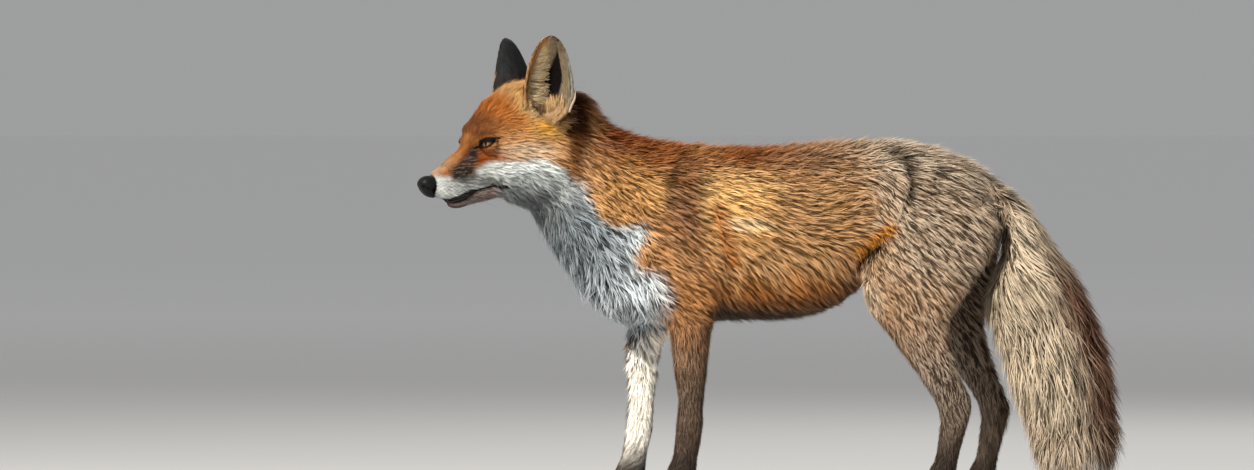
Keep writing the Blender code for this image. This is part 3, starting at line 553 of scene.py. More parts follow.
def paint_brush(p):
    """The tail: buff, brown along its outer side, painted shade where it faces the legs, white at the tip."""
    brush = smooth(0.628, 0.655, p.behind + 0.35 * np.clip(0.33 - p.height, 0, 0.09))
    p.brush = brush = brush * (p.height < 0.36) * ~p.on_leg
    outer_edge = smooth(0.016, -0.017, np.interp(p.height, BRUSH_HEIGHTS, BRUSH_EDGE) - p.behind)
    dark_side = np.maximum(smooth(0.1, 0.8, p.normals[:, 0] + 0.15), outer_edge)
    dark_side = brush * dark_side * smooth(0.320, 0.230, p.height)
    # painted shade on the tail's side that faces the legs
    front = (p.behind > 0.615) * smooth(-0.70, -0.97, p.normals[:, 0])
    front = front * smooth(0.255, 0.280, p.height) * (p.height < 0.325)
    p.paint(BUFF, brush * 0.85)
    p.paint((0.50, 0.40, 0.27), brush * blob(p.flat, (0.664, 0.262), (0.026, 0.050), 0.5) * 0.6)
    p.paint((0.088, 0.024, 0.008), dark_side * 0.94)
    p.paint((0.16, 0.10, 0.06), brush * smooth(0.13, 0.08, p.height) * 0.5)
    p.paint((0.055, 0.034, 0.022), front * 0.8)
    p.paint(WHITE, brush * smooth(0.070, 0.045, p.ragged) * 0.9)
    p.grizzle = np.maximum(p.grizzle, brush * 0.7) * (1 - 0.75 * dark_side) * (1 - 0.9 * front)


def bib_at(flat):
    return area(flat, BIB, 0.007) * smooth(0.30, 0.24, flat[:, 0])


def paint_bib(p):
    """The blue-grey breast and throat, darker towards the throat with grey fur and painted shadow under the
    head, and two whiter patches that are partly painted highlights.
    """
    p.bib = bib = bib_at(p.flat)
    p.paint((0.325, 0.362, 0.385), bib * 0.96)
    # darker towards the throat: grey fur, partly painted shadow under the head
    throat = smooth(0.128, 0.092, p.behind - 0.75 * (0.345 - p.height))
    p.paint((0.13, 0.145, 0.155), throat * bib * 0.75)
    # two whiter patches on the chest's lobes, partly painted highlight
    white = blob(p.flat, (0.224, 0.290), (0.024, 0.017), 0.5)
    white = np.maximum(white, blob(p.flat, (0.246, 0.242), (0.024, 0.020), 0.5))
    p.paint((0.43, 0.465, 0.485), white * bib * 0.8)
    p.spots(p.flat, BIB_GREY_AND_SHADOW, bib)
    p.grizzle = np.where(bib > 0.5, 0.0, p.grizzle)


def paint_head(p):
    """Orange head, pale bridge with a painted highlight along its top, white cheek stripe, and the dark mark
    from eye to muzzle.
    """
    ahead, high = p.face.T
    p.on_head = on_head = smooth(0.185, 0.150, p.behind) * (p.height > 0.30)
    p.fur = fur = on_head * (1 - p.bib)
    p.paint((0.26, 0.080, 0.014), fur * 0.9)
    p.spots(p.face, HEAD_SPOTS, fur)
    bridge = area(p.face, BRIDGE, 0.004) * on_head
    p.paint((0.34, 0.135, 0.035), bridge * 0.9)
    # painted highlight along the top of the bridge, where it faces up
    p.paint((0.50, 0.37, 0.26), bridge * p.upward * smooth(0.02, 0.05, ahead) * 0.5)
    p.spots(p.face, CHEEK_SPOTS, fur)
    p.stripe = stripe = area(p.face, CHEEK_STRIPE, 0.0035) * on_head
    p.paint((0.52, 0.545, 0.525), stripe * 0.97)
    p.paint((0.26, 0.28, 0.275), blob(p.face, (-0.050, -0.048), (0.040, 0.020), 0.5) * stripe * 0.85)
    mottled = np.clip(0.35 * blob(p.face, (-0.040, -0.004), (0.040, 0.016), 0.5), 0.06, 0.5)
    p.grizzle = np.where(on_head > 0.5, mottled * (1 - stripe), p.grizzle)

    tear = area(p.face, TEAR_MARK, 0.0045) * on_head * smooth(0.006, 0.012, p.out)
    p.paint((0.033, 0.019, 0.014), tear * 0.97)
    p.paint((0.012, 0.009, 0.008), tear * blob(p.face, (0.0125, -0.010), (0.005, 0.007), 0.5) * 0.8)
    p.paint((0.018, 0.014, 0.012), tear * blob(p.face, (0.025, -0.034), (0.010, 0.008), 0.5) * 0.75)
    p.grizzle = np.maximum(p.grizzle * (1 - tear), tear * 0.22)
    brow = blob(p.face, (0.0110, 0.0180), (0.0018, 0.0050), 0.5) * fur * smooth(0.008, 0.014, p.out)
    p.paint((0.46, 0.28, 0.14), brow * 0.4)
    below_eye = blob(p.face, (-0.002, -0.0385), (0.028, 0.0050), 0.5)
    p.paint((0.20, 0.205, 0.195), below_eye * on_head * 0.65)
    rows = np.sin(high * 2 * math.pi / 0.0038 + 0.9 * ripple(p.points, 0.012, 8))
    dots = rows * np.sin(ahead * 2 * math.pi / 0.0056 + ripple(p.points, 0.010, 9))
    whisker_bed = blob(p.face, (0.032, -0.047), (0.019, 0.009), 0.6) * smooth(0.30, 0.75, dots)
    p.paint((0.075, 0.070, 0.065), whisker_bed * on_head * 0.7)


def lip_line(face):
    """How far places of the face are from the mouth's line, how far along it the nearest place is,
    and how high the black lip is there."""
    far, along = from_path(face, MOUTH_LINE)
    return far, along, np.interp(-face[:, 0], -MOUTH_LINE[:, 0], LIP_HALF)


def paint_mouth_and_eyes(p):
    """Grey under the jaw with painted shade beneath the head, black where the jaw faces down as painted
    shade, black lips, nose and lids, and the black corners of the eyes.
    """
    ahead, high = p.face.T
    p.spots(p.face, JAW_SPOTS, p.on_head)
    far, _, black = lip_line(p.face)
    line = np.interp(-ahead, -MOUTH_LINE[:, 0], MOUTH_LINE[:, 1])
    jaw = smooth(0.0015, -0.0015, high - line) * p.on_head * smooth(-0.026, -0.010, ahead)
    p.paint((0.105, 0.068, 0.058), jaw * smooth(0.0160, 0.0090, far) * 0.9)
    p.paint((0.27, 0.190, 0.175), jaw * smooth(0.018, 0.026, ahead) * 0.85)
    # painted shade: black below the chin's outline and wherever the jaw faces down
    chin = np.maximum(smooth(-0.0660, -0.0680, high), p.downward)
    p.paint((0.025, 0.018, 0.017), jaw * smooth(0.016, 0.022, ahead) * chin * 0.9)
    philtrum = smooth(0.0048, 0.0034, from_path(p.face, PHILTRUM)[0]) * (p.out < 0.011)
    p.paint((0.010, 0.008, 0.008), np.maximum(smooth(1.25, 0.85, far / black), philtrum) * p.on_head)
    p.paint((0.006, 0.005, 0.005), smooth(0.0122, 0.0108, np.linalg.norm(p.points - NOSE, axis=1)))
    corner = np.minimum(from_path(p.face, INNER_CORNER)[0] * 0.7, from_path(p.face, OUTER_CORNER)[0])
    corner = smooth(0.0014, 0.0007, corner) * (p.out > 0.012) * p.on_head
    rim = smooth(1.12, 0.92, from_opening(p.points, RIM_WIDE, RIM_UPPER, RIM_LOWER))
    lid = np.maximum(rim, corner)
    p.paint((0.007, 0.006, 0.006), lid)
    p.grizzle = p.grizzle * (1 - lid)


def paint_ears(p):
    """The neck behind the ears, darker fur with a painted shadow of the ears over it, their sooty backs, and
    their pale cups round a black hollow.
    """
    # painted shadow of the ear on the neck behind it, over darker fur
    shaded = blob(p.flat, (0.1665, 0.414), (0.0105, 0.037), 0.5) * (1 - p.ear)
    p.paint((0.014, 0.003, 0.0003), shaded * 0.97)
    p.grizzle = p.grizzle * (1 - shaded)
    p.spots(p.flat, NECK_SPOTS, 1 - p.ear)
    place = in_ear(p.points)
    wide, high = place.T
    inner = p.inner
    soot = smooth(0.30, 0.44, high + p.wander * 4 + 0.25 * smooth(-0.5, -1.0, wide))
    p.paint(SOOT, p.ear * (1 - inner) * soot * 0.98)
    p.paint((0.30, 0.225, 0.145), inner)
    p.paint((0.54, 0.36, 0.17), inner * smooth(0.15, 0.50, wide))
    p.paint((0.42, 0.22, 0.09), inner * smooth(0.72, 0.90, wide))
    p.paint((0.30, 0.285, 0.225), inner * smooth(-0.74, -0.88, wide) * smooth(0.90, 0.70, high))
    p.paint((0.46, 0.30, 0.16), inner * smooth(0.30, 0.20, high))
    p.paint((0.045, 0.022, 0.016), inner * blob(place, (0.46, 0.225), (0.20, 0.035), 0.5) * 0.9)
    p.paint((0.006, 0.004, 0.004), inner * area(place, EAR_HOLLOW, 0.035))
    behind_rim = p.ear * smooth(-0.98, -1.04, wide) * blob(place, (-1.05, 0.52), (0.3, 0.16), 0.3)
    rim = np.maximum(1 - inner * smooth(0.92, 0.80, np.abs(wide)), smooth(0.84, 0.92, high))
    right_ear = p.ear * (p.to_left < 0) * smooth(0.52, 0.62, high)
    p.paint(SOOT, np.maximum(right_ear * rim, behind_rim) * 0.97)
    p.grizzle = np.where(p.ear > 0.5, 0.0, p.grizzle)


PARTS = (paint_trunk, paint_legs, paint_brush, paint_bib, paint_head, paint_mouth_and_eyes, paint_ears)


def pelt(points, normals, ear, inner):
    """The coat's colour at places of the skin, how grizzled it is there, and how dark the hairs'
    roots are."""
    p = Pelt(points, normals, ear, inner)
    for paint_part in PARTS:
        paint_part(p)
    patchy = 1 + 0.16 * ripple(points, 0.009, 21) + 0.10 * ripple(points, 0.025, 22)
    colour = p.colour * patchy[:, None]
    deep = 0.63 + 0.37 * p.bib * (1 - p.on_head) + 0.12 * p.rear - 0.22 * p.brush
    deep = deep - 0.18 * p.low - 0.24 * p.on_head - 0.12 * p.stripe
    return np.clip(colour, 0, 1), np.clip(p.grizzle, 0, 1), np.clip(deep, 0, 1)


# ---- meshes --------------------------------------------------------------------------------------


def put(name, points, faces, material=None):
    """A new piece with these points and faces (an array of quads or of triangles)."""
    mesh = bpy.data.meshes.new(name)
    faces = np.asarray(faces, np.int32)
    mesh.vertices.add(len(points))
    mesh.vertices.foreach_set("co", np.asarray(points, np.float32).ravel())
    mesh.loops.add(faces.size)
    mesh.loops.foreach_set("vertex_index", faces.ravel())
    mesh.polygons.add(len(faces))
    mesh.polygons.foreach_set("loop_start", np.arange(len(faces), dtype=np.int32) * faces.shape[1])
    mesh.update(calc_edges=True)
    mesh.shade_smooth()
    piece = bpy.data.objects.new(name, mesh)
    bpy.context.scene.collection.objects.link(piece)
    if material:
        mesh.materials.append(material)
    return piece


def points_of(mesh):
    found = np.empty(len(mesh.vertices) * 3, np.float32)
    mesh.vertices.foreach_get("co", found)
    return found.reshape(-1, 3).astype(float)


def normals_of(mesh):
    found = np.empty(len(mesh.vertices) * 3, np.float32)
    mesh.vertex_normals.foreach_get("vector", found)
    return found.reshape(-1, 3).astype(float)


def move_points(mesh, points):
    mesh.vertices.foreach_set("co", points.astype(np.float32).ravel())
    mesh.update()


def remember(mesh, name, values, kind="FLOAT"):
    """Keeps one number, or one colour, for each point of a mesh, for its material to read."""
    kept = mesh.attributes.new(name, kind, "POINT")
    if kind == "FLOAT_COLOR":
        values = np.column_stack([values, np.ones(len(values))])
    field = "color" if kind == "FLOAT_COLOR" else "value"
    kept.data.foreach_set(field, np.asarray(values, np.float32).ravel())


def applied(piece):
    graph = bpy.context.evaluated_depsgraph_get()
    mesh = bpy.data.meshes.new_from_object(piece.evaluated_get(graph), depsgraph=graph)
    piece.modifiers.clear()
    piece.data = mesh
    return piece


def grid_faces(rows, columns, close_rows=False, close_columns=False):
    """Quads between neighbouring points of a grid that is stored row by row."""
    i = np.arange(rows if close_rows else rows - 1)
    j = np.arange(columns if close_columns else columns - 1)
    i, j = (a.ravel() for a in np.meshgrid(i, j, indexing="ij"))
    k, m = (i + 1) % rows, (j + 1) % columns
    return np.stack([i * columns + j, i * columns + m, k * columns + m, k * columns + j], axis=1)


def split_quads(quads):
    return np.concatenate([quads[:, [0, 1, 2]], quads[:, [0, 2, 3]]])


# ---- skin ----------------------------------------------------------------------------------------


GROWN, DRAWN_IN = 0.00045, 0.0004  # how far the flesh solids are grown, and the eyes and nose shrunk


def node_copies():
    """Copies of the flesh solids, each grown a little along its normals, so that they close up to one
    body, and of the eyes and nose, a little shrunk, which fill their pockets."""
    work = bmesh.new()
    for name in FLESH + ["eye_left", "eye_right", "nose"]:
        one = bmesh.new()
        one.from_mesh(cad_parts[name].data)
        bmesh.ops.remove_doubles(one, verts=one.verts, dist=1e-6)
        mesh = bpy.data.meshes.new("one")
        one.to_mesh(mesh)
        one.free()
        grown = GROWN if name in FLESH else -DRAWN_IN
        move_points(mesh, points_of(mesh) + normals_of(mesh) * grown)
        work.from_mesh(mesh)
        bpy.data.meshes.remove(mesh)
    mesh = bpy.data.meshes.new("skin")
    work.to_mesh(mesh)
    work.free()
    piece = bpy.data.objects.new("skin", mesh)
    bpy.context.scene.collection.objects.link(piece)
    return piece


def group_of(piece, name, mask):
    piece.vertex_groups.new(name=name).add(np.flatnonzero(mask).tolist(), 1.0, "REPLACE")


def nearest_on(points, target, above=0.0):
    """The nearest places of an object's surface to points, or places a little above them."""
    helper = put("helper", points, np.zeros((0, 3)))
    wrap = helper.modifiers.new("wrap", "SHRINKWRAP")
    wrap.target, wrap.offset = target, above
    wrap.wrap_method, wrap.wrap_mode = "NEAREST_SURFACEPOINT", "ABOVE_SURFACE"
    graph = bpy.context.evaluated_depsgraph_get()
    found = points_of(helper.evaluated_get(graph).data)
    bpy.data.objects.remove(helper)
    return found


def normal_on(points, target, foot):
    """The normals of an object's surface at foot, the nearest places to points."""
    return unit(nearest_on(points, target, 0.003) - foot)


def away_from(points, node):
    """How far points are from a solid's surface."""
    return np.linalg.norm(nearest_on(points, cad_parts[node]) - points, axis=1)


EAR_OPENS = math.radians(64)  # how far out from straight ahead an ear's cup faces
EAR_HALF = 0.0265  # half its width at the root


def ear_frame(side):
    """An ear's root, its way up, the way it opens, and the way to its front edge."""
    low, high = box_of(f"ear_{SIDES[side]}")
    root = (low + high) / 2
    root[2] = low[2]
    opens = AHEAD * math.cos(EAR_OPENS) + side * LEFT * math.sin(EAR_OPENS)
    up = unit(UP + side * LEFT * 0.12)
    fore = unit(AHEAD * math.sin(EAR_OPENS) - side * LEFT * math.cos(EAR_OPENS))
    return root, up, unit(opens - up * (opens @ up)), unit(fore - up * (fore @ up))


def ear_half_width(high):
    """Half an ear's width at a height between 0, its root, and 1, its tip."""
    return EAR_HALF * np.sqrt(1.02 - np.clip(high, 0.1, 1) ** 2.2)


def in_ear(points):
    """Places of the nearer ear: from its rear edge (-1) to its front edge (1), and from its root (0)
    to its tip (1)."""
    left = in_head(points)[:, 1] > 0
    found = np.empty((len(points), 2))
    for side in SIDES:
        root, up, _, fore = ear_frame(side)
        rel = points[left == (side > 0)] - root
        high = rel @ up / (cad_high[2] - root[2])
        wide = np.minimum(ear_half_width(high), EAR_HALF)
        found[left == (side > 0)] = np.stack([rel @ fore / wide, high], axis=1)
    return found


def ear_masks(points, normals):
    """(on an ear, inside its cup) for each point."""
    head = in_head(points)
    ear, inner = np.zeros(len(points)), np.zeros(len(points))
    near = (head[:, 2] > 0.005) & (head[:, 0] < 0) & (head[:, 0] > -0.14)
    some = points[near]
    from_head_solid = away_from(some, "head")
    for side, word in SIDES.items():
        from_ear = away_from(some, f"ear_{word}")
        mine = smooth(-0.0010, 0.0012, from_head_solid - from_ear) * (from_ear < 0.006)
        root, up, opens, fore = ear_frame(side)
        place = np.stack([(some - root) @ way for way in (opens, fore, up)], axis=1)
        cup = blob(place, (-0.002, 0.0, 0.041), (0.0230, 0.0240, 0.035), 0.05)
        cup = cup * (place[:, 0] < 0.012) * (from_ear < 0.020)
        facing = smooth(0.10, 0.45, normals[near] @ opens)
        ear[near] = np.maximum(ear[near], np.maximum(mine, cup))
        inner[near] = np.maximum(inner[near], np.maximum(mine * facing, cup * (1 - mine)))
    return ear, inner


def pressed_in(points, normals):
    """How deep the bare skin lies under the solids' surface: by the coat's depth, and more in the
    folds, round the eyes, under the nose's leather and along the mouth."""
    _, _, depth = coat_at(points)
    ear, _ = ear_masks(points, normals)
    depth = depth * (1 - ear) + 0.00045 * ear
    depth = depth + 0.0008 * smooth(2.2, 1.2, eye_reach(points))
    for line, half, deep, _ in FOLDS:
        far, _ = from_path(in_body(points)[:, [0, 2]], line)
        depth = depth + deep * bell(far, half) * (np.abs(points[:, 1]) > 0.02)
    depth = depth + 0.0030 * smooth(0.0125, 0.0100, np.linalg.norm(points - NOSE, axis=1))
    head = in_head(points)
    far, along, _ = lip_line(head[:, [0, 2]])
    crease = bell(far, 0.0015) * (np.abs(head[:, 1]) > 0.001) * (head[:, 0] > -0.03)
    return depth + 0.0017 * crease * smooth(1.0, 0.9, along) + GROWN


def skin_piece():
    """The bare body under the coat: the solids closed up to one surface, rounded, and drawn in by
    the coat's depth, then thinned out, less on the face than elsewhere."""
    skin = node_copies()
    close = skin.modifiers.new("close", "REMESH")
    close.mode, close.voxel_size = "VOXEL", SKIN_VOXEL
    soften = skin.modifiers.new("soften", "SMOOTH")
    soften.factor, soften.iterations = 0.5, 4
    applied(skin)
    body = in_body(points_of(skin.data))
    group_of(skin, "trunk", (body[:, 0] > 0.17) & (body[:, 2] > 0.05))
    even = skin.modifiers.new("even", "SMOOTH")
    even.factor, even.iterations, even.vertex_group = 0.5, 45, "trunk"
    applied(skin)
    skin.vertex_groups.clear()

    points, normals = points_of(skin.data), normals_of(skin.data)
    move_points(skin.data, points - normals * pressed_in(points, normals)[:, None])

    for on_face, share in ((True, FACE_KEPT), (False, REST_KEPT)):
        head = in_head(points_of(skin.data))
        face = (head[:, 0] > -0.11) & (head[:, 2] > -0.09)
        chosen = face == on_face
        group_of(skin, "thin", chosen)
        thin = skin.modifiers.new("thin", "DECIMATE")
        thin.ratio = 1 - chosen.mean() * (1 - share)
        thin.vertex_group, thin.vertex_group_factor = "thin", 1e-6
        applied(skin)
        skin.vertex_groups.clear()
    return skin


def lid_piece(side):
    """Both lids of an eye as one closed ring round its opening. The opening is an almond on the
    ball: at turn f its edge is (width cos f, height sin f |sin f|^0.35) away from the gaze, as
    angles. The ring's section goes out over the lid at a small height above the ball, and back
    under it, so the lid is a thin shell with a rounded rim."""
    gaze, along, across = eye_axes(side)
    turns, steps = 72, 20
    outwards = 0.6  # share of the section that goes out over the lid
    f = np.linspace(0, 2 * math.pi, turns, endpoint=False)[:, None]
    s = np.linspace(0, 1, steps, endpoint=False)[None, :]
    go = np.where(s < outwards, s / outwards, (1 - s) / (1 - outwards)) ** 1.5  # 0 at the rim, 1 outside
    wide = EYE_OPEN + (math.radians(88) - EYE_OPEN) * go
    edge = np.where(np.sin(f) > 0, EYE_UPPER, EYE_LOWER)
    tall = edge + (math.radians(70) - edge) * go
    a = wide * np.cos(f)
    b = tall * np.sin(f) * np.abs(np.sin(f)) ** (0.35 * (1 - go))
    turn = np.sqrt(a * a + b * b)
    flat = unit(np.stack([a, b], axis=2))
    thick = (0.00085 + 0.0004 * (np.sin(f) > 0)) * np.sin(np.clip(s / outwards, 0, 1) * math.pi / 2) ** 0.5
    radius = EYE_RADIUS - 0.0001 + np.where(s < outwards, 0.0001 + thick, 0.0001)
    level = flat[..., :1] * along + flat[..., 1:] * across
    way = np.cos(turn)[..., None] * gaze + np.sin(turn)[..., None] * level
    points = (EYE[side] + way * radius[..., None]).reshape(-1, 3)
    faces = grid_faces(turns, steps, True, True)
    return points, faces if side > 0 else faces[:, ::-1]


def joined_skin(skin):
    """The skin with the lids of both eyes added to its mesh."""
    work = bmesh.new()
    work.from_mesh(skin.data)
    for side in SIDES:
        lid = put("lid", *lid_piece(side))
        work.from_mesh(lid.data)
        bpy.data.objects.remove(lid)
    bmesh.ops.triangulate(work, faces=work.faces)
    mesh = bpy.data.meshes.new("skin")
    work.to_mesh(mesh)
    work.free()
    skin.data = mesh
    mesh.shade_smooth()
    return skin


# ---- coat ----------------------------------------------------------------------------------------


def scatter(skin, weight, count, rng):
    """Chance places on a mesh of triangles, as many as count, as dense as weight says for each
    point of the mesh. Returns places and normals."""
    mesh = skin.data
    points, normals = points_of(mesh), normals_of(mesh)
    corners = np.empty(len(mesh.loops), np.int32)
    mesh.loops.foreach_get("vertex_index", corners)
    corners = corners.reshape(-1, 3)
    a, b, c = (points[corners[:, k]] for k in range(3))
    size = np.linalg.norm(np.cross(b - a, c - a), axis=1) * weight[corners].mean(1)
    steps = np.cumsum(size)
    pick = np.searchsorted(steps, (np.arange(count) + rng.random(count)) / count * steps[-1])
    pick = np.minimum(pick, len(corners) - 1)
    u, v = rng.random((2, count))
    flip = u + v > 1
    u, v = np.where(flip, 1 - u, u), np.where(flip, 1 - v, v)
    share = np.stack([1 - u - v, u, v], axis=1)[..., None]
    chosen = corners[pick]
    return (points[chosen] * share).sum(1), unit((normals[chosen] * share).sum(1))


ATLAS = {  # where each part's tufts lie on the coat's own map: left, bottom, right, top
    "trunk": (0.00, 0.00, 0.60, 0.50),
    "neck": (0.60, 0.00, 1.00, 0.50),
    "head": (0.00, 0.50, 0.48, 1.00),
    "tail": (0.48, 0.50, 0.74, 1.00),
    "foreleg_left": (0.74, 0.50, 1.00, 0.58),
    "foreleg_right": (0.74, 0.58, 1.00, 0.66),
    "hindleg_left": (0.74, 0.66, 1.00, 0.76),
    "hindleg_right": (0.74, 0.76, 1.00, 0.86),
    "ear_left": (0.74, 0.86, 1.00, 0.93),
    "ear_right": (0.74, 0.93, 1.00, 1.00),
}
ATLAS_EDGE = 0.003


def unwrap(points, ear, inner):
    """Where places of the skin lie on the coat's map. Each part is rolled off round its own axis:
    one direction counts along the axis, the other the turn round it; an ear's outside and inside
    are rolled off beside each other."""
    body, head = in_body(points), in_head(points)
    behind, left, height = body.T
    spot = np.zeros((len(points), 2))
    done = np.zeros(len(points), bool)

    def roll(name, chosen, along, across, up):
        nonlocal done
        chosen = chosen & ~done
        done = done | chosen
        if not chosen.any():
            return
        corner, top = np.array(ATLAS[name][:2]), np.array(ATLAS[name][2:])
        along = along[chosen]
        far = (along - along.min()) / max(np.ptp(along), 1e-6)
        turn = np.arctan2(across[chosen], up[chosen]) / (2 * math.pi) + 0.5
        spot[chosen] = corner + ATLAS_EDGE + np.stack([far, turn], axis=1) * (top - corner - 2 * ATLAS_EDGE)

    for side, word in SIDES.items():
        root, up, opens, _ = ear_frame(side)
        away = points - root
        lifted = away @ opens + 0.010 + 0.02 * (inner < 0.5) * np.sign(away @ opens)
        on_ear = (ear > 0.5) & (side * head[:, 1] > 0)
        roll(f"ear_{word}", on_ear, away @ up, away @ np.cross(up, opens), lifted)
    roll("head", (head[:, 0] > -0.10) & (behind < 0.19), head[:, 0], head[:, 1], head[:, 2] + 0.02)
    on_tail = (behind + 0.9 * (0.33 - height) > 0.655) & (behind > 0.6)
    roll("tail", on_tail, -height, left, behind - 0.655 - 0.25 * (0.30 - height))
    for side, word in SIDES.items():
        legs = (
            (f"foreleg_{word}", (height < 0.195) & (behind < 0.40), 0.0),
            (f"hindleg_{word}", (height < 0.235) & (behind > 0.46), 0.1 * (0.15 - height)),
        )
        for name, chosen, slope in legs:
            middle = in_body(middle_of(name)[None])[0]
            roll(name, chosen & (side * left > 0), -height, left - middle[1], behind - middle[0] - slope)
    raised = height - 0.30 + 0.6 * (behind - 0.19)
    roll("neck", behind < 0.235, behind - 0.6 * (height - 0.33), left, raised)
    roll("trunk", np.ones(len(points), bool), behind, left, height - 0.30)
    return spot


def tuft_weight(points, normals, long_hair):
    """How densely tufts stand at points of the skin: none in the ears' hollows, on the eyes, the
    soles, the nose's leather and the lips."""
    _, length, _ = coat_at(points)
    ear, inner = ear_masks(points, normals)
    is_long = smooth(0.0135, 0.0165, length) * (ear < 0.3)
    weight = 1 / (length * 1000 + (10 if long_hair else 3)) ** 1.2
    weight = weight * (is_long if long_hair else 1 - is_long) * (1 + 1.2 * ear)
    weight = weight * (1 - 0.97 * inner * area(in_ear(points), EAR_HOLLOW, 0.05))
    weight = weight * (eye_reach(points) > 1.16) * (points[:, 2] > 0.004)
    weight = weight * (np.linalg.norm(points - from_head((0.0615, 0.0, -0.0415)), axis=1) > 0.0108)
    head = in_head(points)
    face = head[:, [0, 2]]
    far, _, black = lip_line(face)
    weight = weight * np.maximum(far > 0.7 * black, face[:, 0] < -0.03)
    return weight * np.maximum(from_path(face, PHILTRUM)[0] > 0.0026, np.abs(head[:, 1]) > 0.009)


def laid(ways, normal, turn):
    """Ways pressed down square to normals, and turned round them."""
    flat = unit(ways - (ways * normal).sum(1, keepdims=True) * normal)
    return flat * np.cos(turn)[:, None] + np.cross(normal, flat) * np.sin(turn)[:, None]


def tuft_layout(skin, count, rng, long_hair):
    """Everything about the tufts but their meshes: three stations each, from root to tip, with the
    skin's normal there, and width, colour, grizzle and place on the map. long_hair lays the coat
    of body, neck and tail, and otherwise that of face, ears, legs and feet."""
    points, normals = points_of(skin.data), normals_of(skin.data)
    roots, normal = scatter(skin, tuft_weight(points, normals, long_hair), count, rng)
    ear, inner = ear_masks(roots, normal)
    up_ear = np.empty_like(roots)
    left_side = in_head(roots)[:, 1] > 0
    for side in SIDES:
        up_ear[left_side == (side > 0)] = ear_frame(side)[1]

    def way_at(places):
        way, length, depth = coat_at(places)
        return unit(way * (1 - ear)[:, None] + up_ear * ear[:, None]), length, depth

    way, length, depth = way_at(roots)
    length = length * (1 - ear) + ear * (0.0058 + 0.0015 * inner)
    depth = depth * (1 - ear) + ear * (0.0006 + 0.0006 * inner)
    length = length * (0.45 + 0.55 * smooth(1.2, 2.6, eye_reach(roots)))

    behind, _, height = in_body(roots).T
    bib = bib_at(in_body(roots)[:, [0, 2]])
    clump = (1 + 0.9 * bib) * (0.22 * ripple(roots, 0.018, 11) + 0.16 * ripple(roots, 0.007, 12))
    stray = rng.normal(0, 0.10, count) * (1 + 0.8 * bib)
    trunk = smooth(0.150, 0.200, behind) * smooth(0.650, 0.620, behind + 0.35 * (0.33 - height)) * (1 - bib)
    length = length * rng.uniform(0.75, 1.2, count) * (1 - 0.32 * long_hair * trunk)
    first = laid(way, normal, clump + stray)
    half_way = roots + 0.48 * length[:, None] * first
    middle = nearest_on(half_way, skin)
    middle_normal = normal_on(half_way, skin, middle)
    way, _, middle_depth = way_at(middle)
    second = laid(way, middle_normal, 0.6 * clump + stray)
    ahead = middle + 0.52 * length[:, None] * second
    tip = nearest_on(ahead, skin)
    tip_normal = normal_on(ahead, skin, tip)

    depth = np.minimum(depth, middle_depth * 1.5 + 0.0004)
    lock = np.tanh(1.1 * streaks(middle, first, 0.0042 if long_hair else 0.0028, 14, 0.0036))
    rise = depth * rng.uniform(0.62, 1.12, count) * (1 + 0.15 * ripple(roots, 0.012, 13) + 0.26 * lock)
    tail = (behind > 0.625) * (height < 0.335)
    rise = rise * (1 + tail * smooth(0.1, 0.8, normal[:, 0]) * (0.20 + 0.22 * ripple(roots, 0.060, 17)))
    rise = rise * (1 + 1.1 * tail * smooth(-0.1, -0.7, normal[:, 0]) * smooth(0.190, 0.230, height))
    width = np.clip(0.00040 + 0.036 * length, 0.00050, 0.0017) * rng.uniform(0.65, 1.35, count)
    wild = (rng.random(count) < 0.03) * (1 - ear) * (length > 0.007) * (1 - 0.7 * tail)
    rise = np.minimum(rise * (1 + 0.45 * wild), depth + 0.0085)[:, None]

    colour, grizzle, deep = pelt(middle, middle_normal, ear, inner)
    on_body = smooth(0.150, 0.190, behind) * (height > 0.16)
    # paler on the raised locks and darker on the low ones: tone that changes from lock to lock, with painted
    # light on the locks and painted shade in the gaps
    tone = on_body * (0.16 * smooth(0.2, 0.9, lock) - 0.27 * smooth(-0.1, -0.8, lock))
    colour = colour * (1 + 0.25 * wild + tone + 0.35 * bib * smooth(0.1, 0.9, lock))[:, None]
    # dark slate between the bib's locks: its dark roots, with painted shade in the gaps
    colour = laid_over(colour, (0.045, 0.050, 0.062), bib * on_body * smooth(0.25, -0.45, lock) * 0.9)
    chance = 0.5 * rng.random(count) + 0.25 + 0.25 * lock
    chance = 0.5 + (chance - 0.5) * (1.15 - 0.65 * (behind < 0.165) * (height > 0.30))
    return {
        "stations": (
            roots - normal * 0.0003,
            middle + middle_normal * (0.62 * rise),
            tip + tip_normal * rise,
        ),
        "normals": (normal, middle_normal, tip_normal),
        "width": width * (1 - 0.40 * ear) * (1 - 0.40 * wild),
        "pelt": np.clip(colour, 0, 1),
        "grizzle": grizzle,
        "deep": deep,
        "spot": unwrap(roots, ear, inner),
        "chance": np.clip(chance, 0, 1),
    }


# a plain blade's triangles, how far along it its points are, and its patch on the map; then a ridged one's
PATCH = 0.0014
BLADE = (
    ((0, 1, 3), (0, 3, 2), (2, 3, 4)),
    (0.0, 0.0, 0.55, 0.55, 1.0),
    ((-1, -1), (1, -1), (-0.8, 0.1), (0.8, 0.1), (0, 1)),
)
RIDGED = (
    ((0, 1, 4), (0, 4, 3), (1, 2, 5), (1, 5, 4), (3, 4, 6), (4, 5, 6)),
    (0.0, 0.0, 0.0, 0.55, 0.55, 0.55, 1.0),
    ((-1, -1), (0, -1), (1, -1), (-0.8, 0.1), (0, 0.1), (0.8, 0.1), (0, 1)),
)


